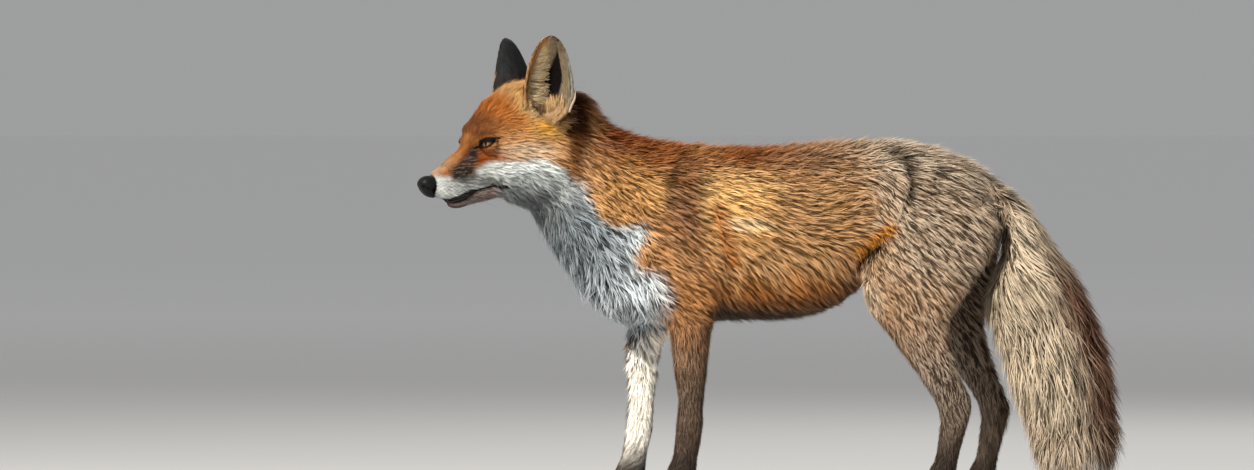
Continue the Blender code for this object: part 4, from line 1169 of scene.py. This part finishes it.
def hair_piece(name, points, faces, material, along, patch, kept):
    """A piece of blades that have len(along) points each. kept gives, for each blade, what its
    material reads, and the spot on the coat's map where its patch lies."""
    piece = put(name, points, faces, material)
    mesh, each = piece.data, len(along)
    remember(mesh, "pelt", np.repeat(kept["pelt"], each, axis=0), "FLOAT_COLOR")
    remember(mesh, "along", np.tile(along, len(kept["pelt"])))
    for field in ("chance", "grizzle", "deep"):
        remember(mesh, field, np.repeat(kept[field], each))
    flat = (kept["spot"][:, None, :] + (np.array(patch) * PATCH)[None]).reshape(-1, 2)
    corners = np.empty(len(mesh.loops), np.int32)
    mesh.loops.foreach_get("vertex_index", corners)
    bake = mesh.uv_layers.new(name="OFBake")
    bake.data.foreach_set("uv", flat[corners].astype(np.float32).ravel())
    return piece


def coat_layer(name, layout, chosen, material, ridged):
    """Tufts as slim blades, bent over the skin. A blade has a left and a right edge at its root and
    again half way, and runs out in one point. A ridged one also has a ridge between its edges,
    which stands a third of the width above them."""
    stations = [s[chosen] for s in layout["stations"]]
    normals = [n[chosen] for n in layout["normals"]]
    width = layout["width"][chosen][:, None]
    runs = (stations[1] - stations[0], stations[2] - stations[0])
    rows = []
    for k, share in ((0, 0.75), (1, 1.0)):
        across = unit(np.cross(runs[k], normals[k])) * width * share / 2
        drop = normals[k] * width * share * (0.33 if ridged else 0.0)
        rows += [stations[k] - across - drop] + [stations[k]] * ridged + [stations[k] + across - drop]
    points = np.stack(rows + [stations[2]], axis=1).reshape(-1, 3)
    pattern, along, patch = RIDGED if ridged else BLADE
    faces = (np.arange(len(width))[:, None, None] * len(along) + np.array(pattern)).reshape(-1, 3)
    kept = {field: layout[field][chosen] for field in ("pelt", "chance", "grizzle", "deep", "spot")}
    return hair_piece(name, points, faces[:, ::-1], material, along, patch, kept)


# ---- materials -----------------------------------------------------------------------------------


class Nodes:
    """The nodes of a material or a node group. add makes one with its fields set, feeds its inputs
    with numbers or with other nodes' outputs, and returns one of its outputs."""

    def __init__(self, tree):
        self.tree = tree

    def feed(self, slot, value):
        if isinstance(value, bpy.types.NodeSocket):
            self.tree.links.new(value, slot)
        else:
            slot.default_value = value

    def add(self, kind, inputs, out=0, **fields):
        node = self.tree.nodes.new("ShaderNode" + kind)
        for name, value in fields.items():
            setattr(node, name, value)
        for slot, value in inputs.items():
            self.feed(node.inputs[slot], value)
        return node.outputs[out]

    def math(self, operation, a, b, clamp=False):
        return self.add("Math", {0: a, 1: b}, operation=operation, use_clamp=clamp)

    def scaled(self, colour, amount):
        return self.add("VectorMath", {0: colour, "Scale": amount}, operation="SCALE")

    def between(self, factor, first, second):
        return self.add("Mix", {"Factor": factor, 6: first, 7: second}, 2, data_type="RGBA")

    def place(self):
        return self.add("TexCoord", {}, "Object")

    def noise(self, scale, **inputs):
        return self.add("TexNoise", {"Vector": self.place(), "Scale": scale, **inputs}, "Fac")

    def dented(self, height, strength, distance, **fields):
        inputs = {"Height": height, "Strength": strength, "Distance": distance}
        return self.add("Bump", inputs, "Normal", **fields)

    def kept(self, name, out="Fac"):
        return self.add("Attribute", {}, out, attribute_name=name)


def hair_tone():
    """Node group. The colour of a hair from its pelt colour: dark at the root, pale towards the tip,
    and where the coat is grizzled some hairs end in cream and some in black."""
    group = bpy.data.node_groups.new("hair_tone", "ShaderNodeTree")
    pelt_in = group.interface.new_socket(name="Pelt", in_out="INPUT", socket_type="NodeSocketColor")
    pelt_in.default_value = (0.4, 0.2, 0.1, 1)
    for name, value in (("Along", 0.5), ("Chance", 0.5), ("Grizzle", 0.0), ("Deep", 0.6), ("Tip", 1.25)):
        made = group.interface.new_socket(name=name, in_out="INPUT", socket_type="NodeSocketFloat")
        made.default_value = value
    group.interface.new_socket(name="Color", in_out="OUTPUT", socket_type="NodeSocketColor")
    nodes = Nodes(group)
    given = group.nodes.new("NodeGroupInput").outputs
    spread = nodes.add("MapRange", {"Value": given["Chance"], "To Min": 0.62, "To Max": 1.35})
    dark_root = nodes.math("SUBTRACT", 1.0, given["Deep"], True)
    runs = {"Value": given["Along"], "From Max": 0.85, "To Min": dark_root, "To Max": given["Tip"]}
    shade = nodes.add("MapRange", runs, interpolation_type="SMOOTHSTEP")
    plain = nodes.scaled(given["Pelt"], nodes.math("MULTIPLY", spread, shade))
    late = nodes.math("MULTIPLY", nodes.math("SUBTRACT", given["Along"], 0.25), 2.2, True)

    def tipped(under, chosen, strength, colour):
        chosen = nodes.math("MULTIPLY", nodes.math("MULTIPLY", chosen, given["Grizzle"]), late)
        return nodes.between(nodes.math("MULTIPLY", chosen, strength), under, colour)

    pale = tipped(plain, nodes.math("GREATER_THAN", given["Chance"], 0.60), 0.75, (0.70, 0.575, 0.45, 1))
    dark = tipped(pale, nodes.math("LESS_THAN", given["Chance"], 0.38), 0.82, (0.034, 0.022, 0.018, 1))
    nodes.feed(group.nodes.new("NodeGroupOutput").inputs["Color"], dark)
    return group


HAIR_TONE = hair_tone()


def new_material(name, surface):
    """A material whose shader's inputs are those that surface gives, from the material's nodes."""
    material = bpy.data.materials.new(name)
    material.use_nodes = True
    nodes = Nodes(material.node_tree)
    for slot, value in surface(nodes).items():
        nodes.feed(material.node_tree.nodes["Principled BSDF"].inputs[slot], value)
    return material


def toned(nodes, inputs):
    """The colour that the group hair_tone gives for these inputs and the kept pelt colour."""
    inputs = {"Pelt": nodes.kept("pelt", "Color"), "Grizzle": nodes.kept("grizzle"), **inputs}
    return nodes.add("Group", {"Deep": nodes.kept("deep"), **inputs}, "Color", node_tree=HAIR_TONE)


def guard_hair(nodes):
    tone = toned(nodes, {"Along": nodes.kept("along"), "Chance": nodes.kept("chance"), "Tip": 1.22})
    return {"Base Color": tone, "Roughness": 0.62, "Specular IOR Level": 0.07}


def underfur(nodes):
    fine = nodes.noise(900, Detail=3)
    return {
        "Base Color": toned(nodes, {"Along": 0.12, "Tip": 1.0, "Chance": fine}),
        "Normal": nodes.dented(fine, 0.6, 0.0006),
        "Roughness": 0.8,
        "Specular IOR Level": 0.12,
    }


def eye_amber(nodes):
    """The kept colours of the eye with fine grain, under a clear wet coat."""
    grain = nodes.add("MapRange", {"Value": nodes.noise(1500), "To Min": 0.8, "To Max": 1.2})
    return {
        "Base Color": nodes.scaled(nodes.kept("glass", "Color"), grain),
        "Roughness": 0.16,
        "Specular IOR Level": 0.15,
        "Coat Weight": 0.40,
        "Coat Roughness": 0.04,
    }


def nose_leather(nodes):
    """Nose leather: small rounded pebbles with fine cracks between them, dull in the nostrils."""
    cells = {"Vector": nodes.place(), "Scale": 1150, "Smoothness": 0.4}
    pebbles = nodes.add("TexVoronoi", cells, "Distance", feature="SMOOTH_F1")
    grain = nodes.noise(400)
    wet = nodes.add("MapRange", {"Value": grain, "To Min": 0.30, "To Max": 0.50})
    return {
        "Base Color": nodes.between(grain, (0.0030, 0.0034, 0.0036, 1), (0.0110, 0.0112, 0.0115, 1)),
        "Normal": nodes.dented(pebbles, 0.55, 0.0003, invert=True),
        "Roughness": nodes.math("ADD", wet, nodes.kept("nostril"), True),
        "Specular IOR Level": 0.15,
    }


def claw_horn(nodes):
    """Claw horn: dark brown-grey, streaked lengthways."""
    stretch = nodes.add("Mapping", {"Vector": nodes.place(), "Scale": (120, 1600, 500)}, "Vector")
    streak = nodes.add("TexNoise", {"Vector": stretch, "Scale": 1.0}, "Fac")
    return {
        "Base Color": nodes.between(streak, (0.020, 0.016, 0.013, 1), (0.110, 0.085, 0.062, 1)),
        "Normal": nodes.dented(streak, 0.3, 0.0002),
        "Roughness": 0.38,
    }


def plain_surface(colour, roughness, scale):
    """Bare skin or stiff hair: one colour broken up by fine noise, which also dents it."""

    def surface(nodes):
        grain = nodes.noise(scale)
        dim, bright = ((*(share * c for c in colour), 1) for share in (0.5, 1.6))
        return {
            "Base Color": nodes.between(grain, dim, bright),
            "Normal": nodes.dented(grain, 0.4, 0.0002),
            "Roughness": roughness,
        }

    return surface


def pale_floor(nodes):
    """Paler far from the fox, so that the floor meets the studio's light smoothly."""
    far = nodes.add("VectorMath", {0: nodes.place()}, "Value", operation="LENGTH")
    fade = {"Value": far, "From Min": 1.5, "From Max": 11.0, "To Min": 0.62, "To Max": 0.97}
    return {"Base Color": nodes.add("MapRange", fade, interpolation_type="SMOOTHSTEP"), "Roughness": 0.9}


# ---- eyes, nose, lips, claws and whiskers --------------------------------------------------------


def outward(points, faces):
    """Triangles turned so that a closed surface faces out: where its volume comes out negative, all
    of them are turned over."""
    a, b, c = (points[faces[:, k]] for k in range(3))
    return faces[:, ::-1] if (a * np.cross(b, c)).sum() < 0 else faces


def closed_up(grid, first, last):
    """Points and triangles of a surface from a grid of rings, closed round, and closed at both ends
    by one point each."""
    rows, columns = grid.shape[:2]
    j = np.arange(columns)
    k, end, count = (j + 1) % columns, (rows - 1) * columns, rows * columns
    caps = [np.stack([k, j, j * 0 + count], axis=1), np.stack([end + j, end + k, j * 0 + count + 1], axis=1)]
    points = np.concatenate([grid.reshape(-1, 3), np.array([first, last])])
    faces = np.concatenate([split_quads(grid_faces(rows, columns, False, True))] + caps)
    return points, outward(points - points.mean(0), faces)


def carried(path, radii, sides, flat=1.0, side_way=UP):
    """A round or flattened profile carried along a path: at each of its points a ring of the given
    radius stands square to the path; flat squeezes the ring along side_way."""
    path, radii = np.asarray(path, float), np.asarray(radii, float)
    run = unit(np.gradient(path, axis=0))
    over = unit(side_way - run * (run @ side_way)[:, None])
    beside = np.cross(run, over)
    a = np.linspace(0, 2 * math.pi, sides, endpoint=False)
    ring = np.cos(a)[None, :, None] * beside[:, None] + flat * np.sin(a)[None, :, None] * over[:, None]
    return closed_up(path[:, None] + ring * radii[:, None, None], path[0], path[-1])


def bent(stops, count):
    """A smooth path of count points through a few stops, by Catmull-Rom pieces."""
    stops = np.asarray(stops, float)
    full = np.concatenate([2 * stops[:1] - stops[1:2], stops, 2 * stops[-1:] - stops[-2:-1]])
    t = np.linspace(0, len(stops) - 1, count)
    i = np.minimum(t.astype(int), len(stops) - 2)
    u = (t - i)[:, None]
    a, b, c, d = (full[i + k] for k in range(4))
    return 0.5 * (2 * b + (c - a) * u + (2 * a - 5 * b + 4 * c - d) * u**2 + (3 * b - a - 3 * c + d) * u**3)


def merged(parts):
    """Several (points, faces) made into one."""
    points, faces, start = [], [], 0
    for p, f in parts:
        points.append(p)
        faces.append(f + start)
        start += len(p)
    return np.concatenate(points), np.concatenate(faces)


def put_merged(name, parts, material):
    return put(name, *merged(parts), material)


def ball_angles(rings, turns, power):
    """Angles from the axis of a ball, closer together near it for a power above 1, and round it."""
    t = (np.linspace(0, 1, rings + 2)[1:-1] ** power * math.pi)[:, None]
    a = np.linspace(0, 2 * math.pi, turns, endpoint=False)[None, :]
    return t + 0 * a, a + 0 * t


IRIS = 0.84  # the iris's edge as an angle from the gaze
PUPIL = (0.17, 0.36)  # half the slit's width and height, as angles
CORNEA = 0.0007  # how high it stands


def eyeball(side, material):
    """An eye as a ball turned round its gaze: at an angle t from the gaze the radius is the ball's
    and, inside the cornea, its height times the squared cosine more. Its colours go by t: slit,
    amber iris with fine spokes, dark edge, brown white-of-the-eye; a painted shadow of the upper lid darkens
    the iris's upper part."""
    gaze, _, _ = eye_axes(side)
    t, a = ball_angles(100, 96, 1.5)
    sunk = EYE_RADIUS - 0.00045
    radius = sunk + CORNEA * np.cos(np.clip(t / (IRIS + 0.06), 0, 1) * math.pi / 2) ** 2
    level = unit(np.cross(UP, gaze)) * side
    upright = unit(np.cross(gaze, level) * side)
    flat = np.cos(a)[..., None] * level + np.sin(a)[..., None] * upright
    way = np.cos(t)[..., None] * gaze + np.sin(t)[..., None] * flat
    grid = EYE[side] + way * radius[..., None]
    ends = EYE[side] + gaze * (sunk + CORNEA), EYE[side] - gaze * sunk
    piece = put(f"eyeball_{SIDES[side]}", *closed_up(grid, *ends), material)
    turn, angle = np.append(t.ravel(), (0, math.pi)), np.append(a.ravel(), (0, 0))
    x, y = turn * np.cos(angle), turn * np.sin(angle)
    slit = smooth(1.12, 0.92, np.sqrt((x / PUPIL[0]) ** 2 + (y / PUPIL[1]) ** 2))
    spokes = 0.5 + 0.25 * np.sin(angle * 31 + 3 * np.sin(angle * 7)) + 0.25 * np.sin(angle * 48 + 2)
    amber = np.array((0.27, 0.095, 0.010)) * (0.62 + 0.45 * spokes)[:, None]
    amber = laid_over(amber, (0.42, 0.20, 0.03), smooth(0.42, 0.22, turn) * 0.5)
    amber = laid_over(amber, (0.020, 0.012, 0.008), smooth(IRIS - 0.17, IRIS - 0.03, turn))
    amber = laid_over(amber, (0.050, 0.028, 0.018), smooth(IRIS + 0.02, IRIS + 0.10, turn))
    # painted shadow of the upper lid over the iris's upper part; darker also towards both corners
    shade = 1 - 0.75 * smooth(0.00, 0.20, y)
    shade = shade * (1 - 0.92 * smooth(-0.10, -0.38, x)) * (1 - 0.6 * smooth(0.42, 0.70, x))
    amber = laid_over(amber * (1.15 * shade)[:, None], (0.002, 0.002, 0.002), slit)
    remember(piece.data, "glass", amber, "FLOAT_COLOR")
    return piece


def tear_ducts(material):
    """The wet dark bead in the inner corner of each eye."""
    parts = []
    for side in SIDES:
        gaze, along, across = eye_axes(side)
        t = np.linspace(0, 1, 14)[:, None]
        turn = -math.radians(48) - math.radians(30) * t
        way = np.cos(turn) * gaze + np.sin(turn) * along - across * 0.06
        path = EYE[side] + unit(way) * (EYE_RADIUS - 0.0003 + 0.0006 * t)
        radii = 0.0015 * np.sqrt(np.clip(np.sin(t[:, 0] * math.pi), 0.02, 1))
        parts.append(carried(path, radii, 16, 0.8, gaze))
    return put_merged("tear_ducts", parts, material)


def nose_pad(material):
    """The nose's leather as a rounded wedge: in the direction (f, l, u) the radius is that of a
    super-ellipsoid of power 2.5; it narrows downwards, leans back below its middle, and has a
    nostril dented into each side with a slit running back from it, and a groove down the front."""
    rings, turns, power = 120, 160, 2.5
    t, a = ball_angles(rings, turns, 1)
    way = np.stack([np.cos(t), np.sin(t) * np.cos(a), np.sin(t) * np.sin(a)], axis=2)
    way = np.concatenate([way.reshape(-1, 3), ((1, 0, 0), (-1, 0, 0))])
    f, l, u = way.T
    narrow = 0.0108 * (1 - 0.42 * smooth(0.25, -1.0, u))
    radius = np.abs(f / 0.0112) ** power + np.abs(l / narrow) ** power + np.abs(u / 0.0113) ** power
    radius = radius ** (-1 / power)
    hole = np.zeros(len(way))
    for dent, deep, wide in (((0.74, 0.60, -0.06), 0.0026, 0.20), ((0.50, 0.84, -0.22), 0.0014, 0.15)):
        turn = np.arccos(np.clip(np.stack([f, np.abs(l), u], axis=1) @ unit(np.array(dent)), -1, 1))
        radius = radius - deep * bell(turn, wide)
        hole = np.maximum(hole, smooth(1.5, 0.7, turn / wide))
    slit = bell(np.abs(l) - 0.93, 0.10) * bell(u + 0.30 + 0.3 * (f - 0.2), 0.10)
    radius = radius - 0.0012 * slit * (f > -0.3) - 0.0006 * bell(l, 0.10) * smooth(0.35, 0.05, u) * (f > 0)
    local = way * radius[:, None]
    local[:, 0] -= 0.50 * np.clip(0.001 - local[:, 2], 0, None) + 0.15 * np.clip(local[:, 2] - 0.004, 0, None)
    local[:, 2] += 0.10 * np.minimum(local[:, 2], 0)
    tucked = smooth(0.30, -0.60, f) * smooth(0.35, -0.45, u)
    local[:, :2] *= 1 - np.array((0.35, 0.42)) * tucked[:, None]
    points = NOSE + (local + (0.0002, 0, -0.0012)) @ HEAD_AXES
    grid = points[:-2].reshape(rings, turns, 3)
    piece = put("nose_pad", *closed_up(grid, points[-2], points[-1]), material)
    remember(piece.data, "nostril", hole)
    return piece


def on_side(places, side, skin):
    """The skin's points that a side view shows at places (ahead, up): the nearest skin point is
    found again and again from those coordinates and the last found distance out."""
    places = np.asarray(places, float)
    out = np.full(len(places), 0.02)
    for _ in range(12):
        found = nearest_on(from_head(np.column_stack([places[:, 0], side * out, places[:, 1]])), skin)
        out = np.abs(in_head(found)[:, 1])
    return found


def lips(skin, material):
    """The dark edges of both lips: on each side two slim rolls along the mouth, half sunk in the
    skin, one above and one below its line. Their thickness swells under the canine tooth and runs
    out at the mouth's corner, where the two meet."""
    parts = []
    for side in SIDES:
        for drop in (0.0011, -0.0013):
            line = bent(MOUTH_LINE, 60)
            line[:, 1] += drop * np.clip((1 - np.linspace(0, 1, 60)) / 0.3, 0, 1)
            path = bent(on_side(line, side, skin), 110)
            t = np.linspace(0, 1, 110)
            swell = 0.0010 + 0.0006 * bell(t - 0.36, 0.16) - 0.0007 * t
            ends = np.sqrt(np.clip(t / 0.03, 0.1, 1) * np.clip((1 - t) / 0.15, 0.05, 1))
            parts.append(carried(path, 0.75 * swell * ends, 10))
    return put_merged("lip_edges", parts, material)


def whiskers(skin, material):
    """Whiskers in four rows on each side of the muzzle: each a tapering hair that springs out from
    the upper lip and bends back along the cheek."""
    parts, rng = [], np.random.default_rng(5)
    for side in SIDES:
        for row, in_row in enumerate((3, 4, 4, 3)):
            above = 1.5 - row
            for place in range(in_row):
                ahead, up = 0.0440 - 0.0075 * place - 0.0015 * row, -0.0405 - 0.0042 * row
                root = on_side([(ahead, up)], side, skin)[0]
                long = 0.030 + 0.0075 * place + rng.uniform(-0.004, 0.004)
                spring = unit(np.array((-0.30, side * 0.95, -0.10 + 0.10 * above)))
                bend = unit(np.array((-0.92, side * 0.30, -0.22 + 0.08 * above)) + rng.normal(0, 0.05, 3))
                t = np.linspace(0, 1, 14)[:, None]
                way = (spring * t + (bend - spring) * t**1.6 * 0.8) @ HEAD_AXES
                parts.append(carried(root + way * long, 0.00021 * (1 - 0.85 * t[:, 0]), 5))
    return put_merged("whiskers", parts, material)


FRINGE_LOCKS = 90  # in each ear; the first 66 of them hang from its front edge


def ear_fringe(skin, material):
    """The long pale hair of the ears' cups, as slim bent blades in small locks. One fringe is rooted
    behind the front edge and lies back over the hollow; another rises from the cup's root."""
    rng = np.random.default_rng(31)
    count = 1500
    pieces, roots = [], []
    for side in SIDES:
        root, up, opens, fore = ear_frame(side)
        lock = rng.integers(0, FRINGE_LOCKS, count)
        front = lock < 66
        share = rng.random(FRINGE_LOCKS)[lock]
        high = np.where(front, 0.27 + 0.55 * share, rng.uniform(0.12, 0.25, count))
        high = high + rng.normal(0, 0.012, count)
        wide = np.where(
            front,
            rng.uniform(0.34, 0.74, count),
            (rng.random(FRINGE_LOCKS) * 0.9 - 0.55)[lock] + rng.normal(0, 0.03, count),
        )
        guess = root + up * (high * (cad_high[2] - root[2]))[:, None]
        guess = guess + fore * (wide * ear_half_width(high))[:, None]
        sunk = (-0.017 + 0.026 * wide**2) * np.clip((1.05 - high) / 0.55, 0, 1)
        start = nearest_on(guess + opens * sunk[:, None], skin)
        lean = np.where(front, -0.45 + 1.25 * share, 3.0) + rng.normal(0, 0.16, FRINGE_LOCKS)[lock]
        lean = lean + rng.normal(0, 0.10, count)
        turn = np.where(front, 1.0, rng.normal(0.0, 0.25, FRINGE_LOCKS)[lock])
        lift = rng.uniform(0.10, 0.34, FRINGE_LOCKS)[lock] + rng.normal(0, 0.05, count)
        way = unit(-fore * turn[:, None] + up * lean[:, None] + opens * lift[:, None])
        long = np.where(front, 0.0125 - 0.0050 * share, 0.0140) * rng.uniform(0.6, 1.25, count)
        bend = unit(way - opens * rng.uniform(0.10, 0.40, count)[:, None] + up * 0.12)
        middle = start + way * (0.5 * long)[:, None]
        tip = middle + bend * (0.5 * long)[:, None]
        centre = np.stack([np.bincount(lock, tip[:, k], FRINGE_LOCKS) for k in range(3)], axis=1)
        centre /= np.maximum(np.bincount(lock, minlength=FRINGE_LOCKS), 1)[:, None]
        tip = tip + 0.35 * (centre[lock] - tip)
        across = unit(np.cross(way, opens)) * rng.uniform(0.00016, 0.00030, count)[:, None]
        edges = [start - across, start + across, middle - 0.8 * across, middle + 0.8 * across, tip]
        faces = np.arange(count)[:, None, None] * 5 + np.array(BLADE[0])
        pieces.append((np.stack(edges, axis=1).reshape(-1, 3), faces.reshape(-1, 3)))
        roots.append(start)
    roots, every = np.concatenate(roots), np.ones(2 * count)
    cream = np.array((0.84, 0.66, 0.40)) * rng.uniform(0.45, 1.15, (2 * count, 1))
    cream[in_ear(roots)[:, 1] < 0.26] *= (0.80, 0.66, 0.50)
    kept = {"pelt": cream, "grizzle": 0 * every, "deep": 0.7 * every, "spot": unwrap(roots, every, every)}
    kept["chance"] = rng.random(2 * count)
    return hair_piece("ear_fringe", *merged(pieces), material, (0.30, 0.30, 0.6, 0.6, 0.9), BLADE[2], kept)


EAR_POCKET = (  # its line as (towards the front edge, up, out of the cup)
    *((-0.0262, 0.0455, 0.0020), (-0.0264, 0.0370, 0.0062), (-0.0252, 0.0290, 0.0088)),
    *((-0.0205, 0.0234, 0.0080), (-0.0150, 0.0226, 0.0040)),
)


def ear_folds(skin, material):
    """The small pocket of pale skin that hangs from the rear edge at the foot of each ear, as a
    flattened roll that runs out at both ends."""
    parts = []
    for side in SIDES:
        root, up, opens, fore = ear_frame(side)
        path = bent([root + fore * f + up * h + opens * o for f, h, o in EAR_POCKET], 40)
        path = bent(list(nearest_on(path, skin, 0.0020)[::4]), 40)
        t = np.linspace(0, 1, 40)
        radii = (0.0010 + 0.0005 * t) * np.clip(np.sin(t * math.pi), 0.06, 1) ** 0.5
        parts.append(carried(path, radii, 14, 0.7, opens))
    return put_merged("ear_folds", parts, material)


# across the paw, and back from its front
TOES = ((-0.0135, 0.0080), (-0.0048, 0.0), (0.0048, 0.0), (0.0135, 0.0080))
CLAW_LENGTH, CLAW_HALF = 0.0112, 0.00175


def claws(material):
    """Four claws on each paw: a slim ring narrowed from side to side, carried down a bend that
    leaves the toe's fur forwards and ends in a blunt point above the floor."""
    parts = []
    t = np.linspace(0, 1, 16)
    for name in ("forepaw_left", "forepaw_right", "hindpaw_left", "hindpaw_right"):
        front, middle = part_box(name)[0].x, middle_of(name)[1]
        for across, back in TOES:
            x = front + back + CLAW_LENGTH * (1 - t)
            path = np.column_stack([x, np.full(16, middle + across), 0.0030 + 0.0072 * (1 - t**1.9)])
            parts.append(carried(path, CLAW_HALF * (1 - 0.80 * t**1.6), 12, 1.15))
    return put_merged("claws", parts, material)


# ---- stage ---------------------------------------------------------------------------------------


def stage_floor():
    """A flat floor, far wider than the view: rings of points, each a fifth wider than the one before."""
    rings, turns = 50, 96
    turn = np.linspace(0, 2 * math.pi, turns, endpoint=False)
    reach = 0.02 * 1.2 ** np.arange(rings)
    flat = reach[:, None, None] * np.stack([np.cos(turn), np.sin(turn), 0 * turn], axis=1)[None]
    points = np.concatenate([flat.reshape(-1, 3), np.zeros((1, 3))])
    j = np.arange(turns)
    middle = np.stack([(j + 1) % turns, j, j * 0 + rings * turns], axis=1)
    faces = np.concatenate([split_quads(grid_faces(rings, turns, False, True)), middle])
    put("floor", points, faces[:, ::-1], new_material("pale_floor", pale_floor))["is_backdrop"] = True


def aimed(name, data, place, target):
    """A camera or lamp put at a place and turned to a target."""
    made = bpy.data.objects.new(name, data)
    made.location = place
    made.rotation_euler = (Vector(target) - Vector(place)).to_track_quat("-Z", "Y").to_euler()
    bpy.context.scene.collection.objects.link(made)
    return made


def lamp(name, place, target, size, power, colour):
    light = bpy.data.lights.new(name, "AREA")
    light.energy, light.size, light.color = power, size, colour
    aimed(name, light, place, target)


CAMERA_AWAY, VIEW_WIDTH = 12.0, 1.3412  # how far off the camera stands, and how much it takes in there


def camera_and_lights():
    """A long lens, side-on and a little above the fox's back, and soft light from ahead of it."""
    middle = (cad_low + cad_high) / 2
    aim = np.array((cad_low[0] + 0.2240, middle[1], 0.2941))
    lens = bpy.data.cameras.new("camera")
    lens.sensor_width, lens.lens, lens.clip_end = 36.0, 36.0 * CAMERA_AWAY / VIEW_WIDTH, 100.0
    bpy.context.scene.camera = aimed("camera", lens, aim + (0.0, -CAMERA_AWAY, 0.16), aim)
    target = (middle[0], middle[1], 0.28)
    lamp("key", (-2.3, -2.35, 2.9), target, 0.5, 225, (1.0, 0.95, 0.86))
    lamp("fill", (2.4, -3.0, 1.4), target, 5.0, 22, (0.95, 0.97, 1.0))
    lamp("back", (1.2, 2.6, 2.4), target, 1.6, 28, (1.0, 0.97, 0.92))
    bpy.context.scene.view_settings.view_transform = "Standard"
    world = bpy.data.worlds.new("studio")
    world.use_nodes = True
    world.node_tree.nodes["Background"].inputs["Color"].default_value = (0.95, 0.955, 0.96, 1)
    world.node_tree.nodes["Background"].inputs["Strength"].default_value = 0.36
    bpy.context.scene.world = world


# ---- the fox -------------------------------------------------------------------------------------


def settle(piece, slot, *nodes):
    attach(piece, "root")
    if nodes:
        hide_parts(*nodes)


camera_and_lights()
stage_floor()

skin = joined_skin(skin_piece())
skin_points, skin_normals = points_of(skin.data), normals_of(skin.data)
skin_colour, skin_grizzle, skin_deep = pelt(skin_points, skin_normals, *ear_masks(skin_points, skin_normals))
remember(skin.data, "pelt", skin_colour, "FLOAT_COLOR")
remember(skin.data, "grizzle", skin_grizzle)
remember(skin.data, "deep", skin_deep)
skin.data.materials.append(new_material("underfur", underfur))

rng = np.random.default_rng(20)
hair = new_material("guard_hair", guard_hair)
long_coat = tuft_layout(skin, LONG_LAYERS * TUFTS_IN_LAYER, rng, True)
short_coat = tuft_layout(skin, SHORT_LAYERS * SHORT_TUFTS_IN_LAYER, rng, False)
layers = []
for coat, parts in ((long_coat, LONG_LAYERS), (short_coat, SHORT_LAYERS)):
    layers += [(coat, part) for part in np.array_split(rng.permutation(len(coat["width"])), parts)]
for number, (coat, chosen) in enumerate(layers):
    layer = coat_layer(f"coat_layer_{number + 1}", coat, chosen, hair, coat is long_coat)
    settle(layer, "pelt_tawny")

amber = new_material("eye_amber", eye_amber)
lip_skin = new_material("lip_skin", plain_surface((0.006, 0.005, 0.005), 0.50, 900))
whisker_hair = new_material("whisker_hair", plain_surface((0.020, 0.016, 0.014), 0.45, 600))
fold_skin = new_material("ear_fold_skin", plain_surface((0.46, 0.34, 0.24), 0.8, 900))
settle(eyeball(1, amber), "eye_glass", "eye_left")
settle(eyeball(-1, amber), "eye_glass", "eye_right")
settle(tear_ducts(amber), "eye_glass")
settle(nose_pad(new_material("nose_leather", nose_leather)), "nose_leather", "nose")
settle(lips(skin, lip_skin), "nose_leather")
settle(whiskers(skin, whisker_hair), "nose_leather")
settle(claws(new_material("claw_horn", claw_horn)), "nose_leather")
settle(ear_fringe(skin, hair), "ear_soot")
settle(ear_folds(skin, fold_skin), "ear_soot")
settle(skin, "pelt_tawny", *FLESH)
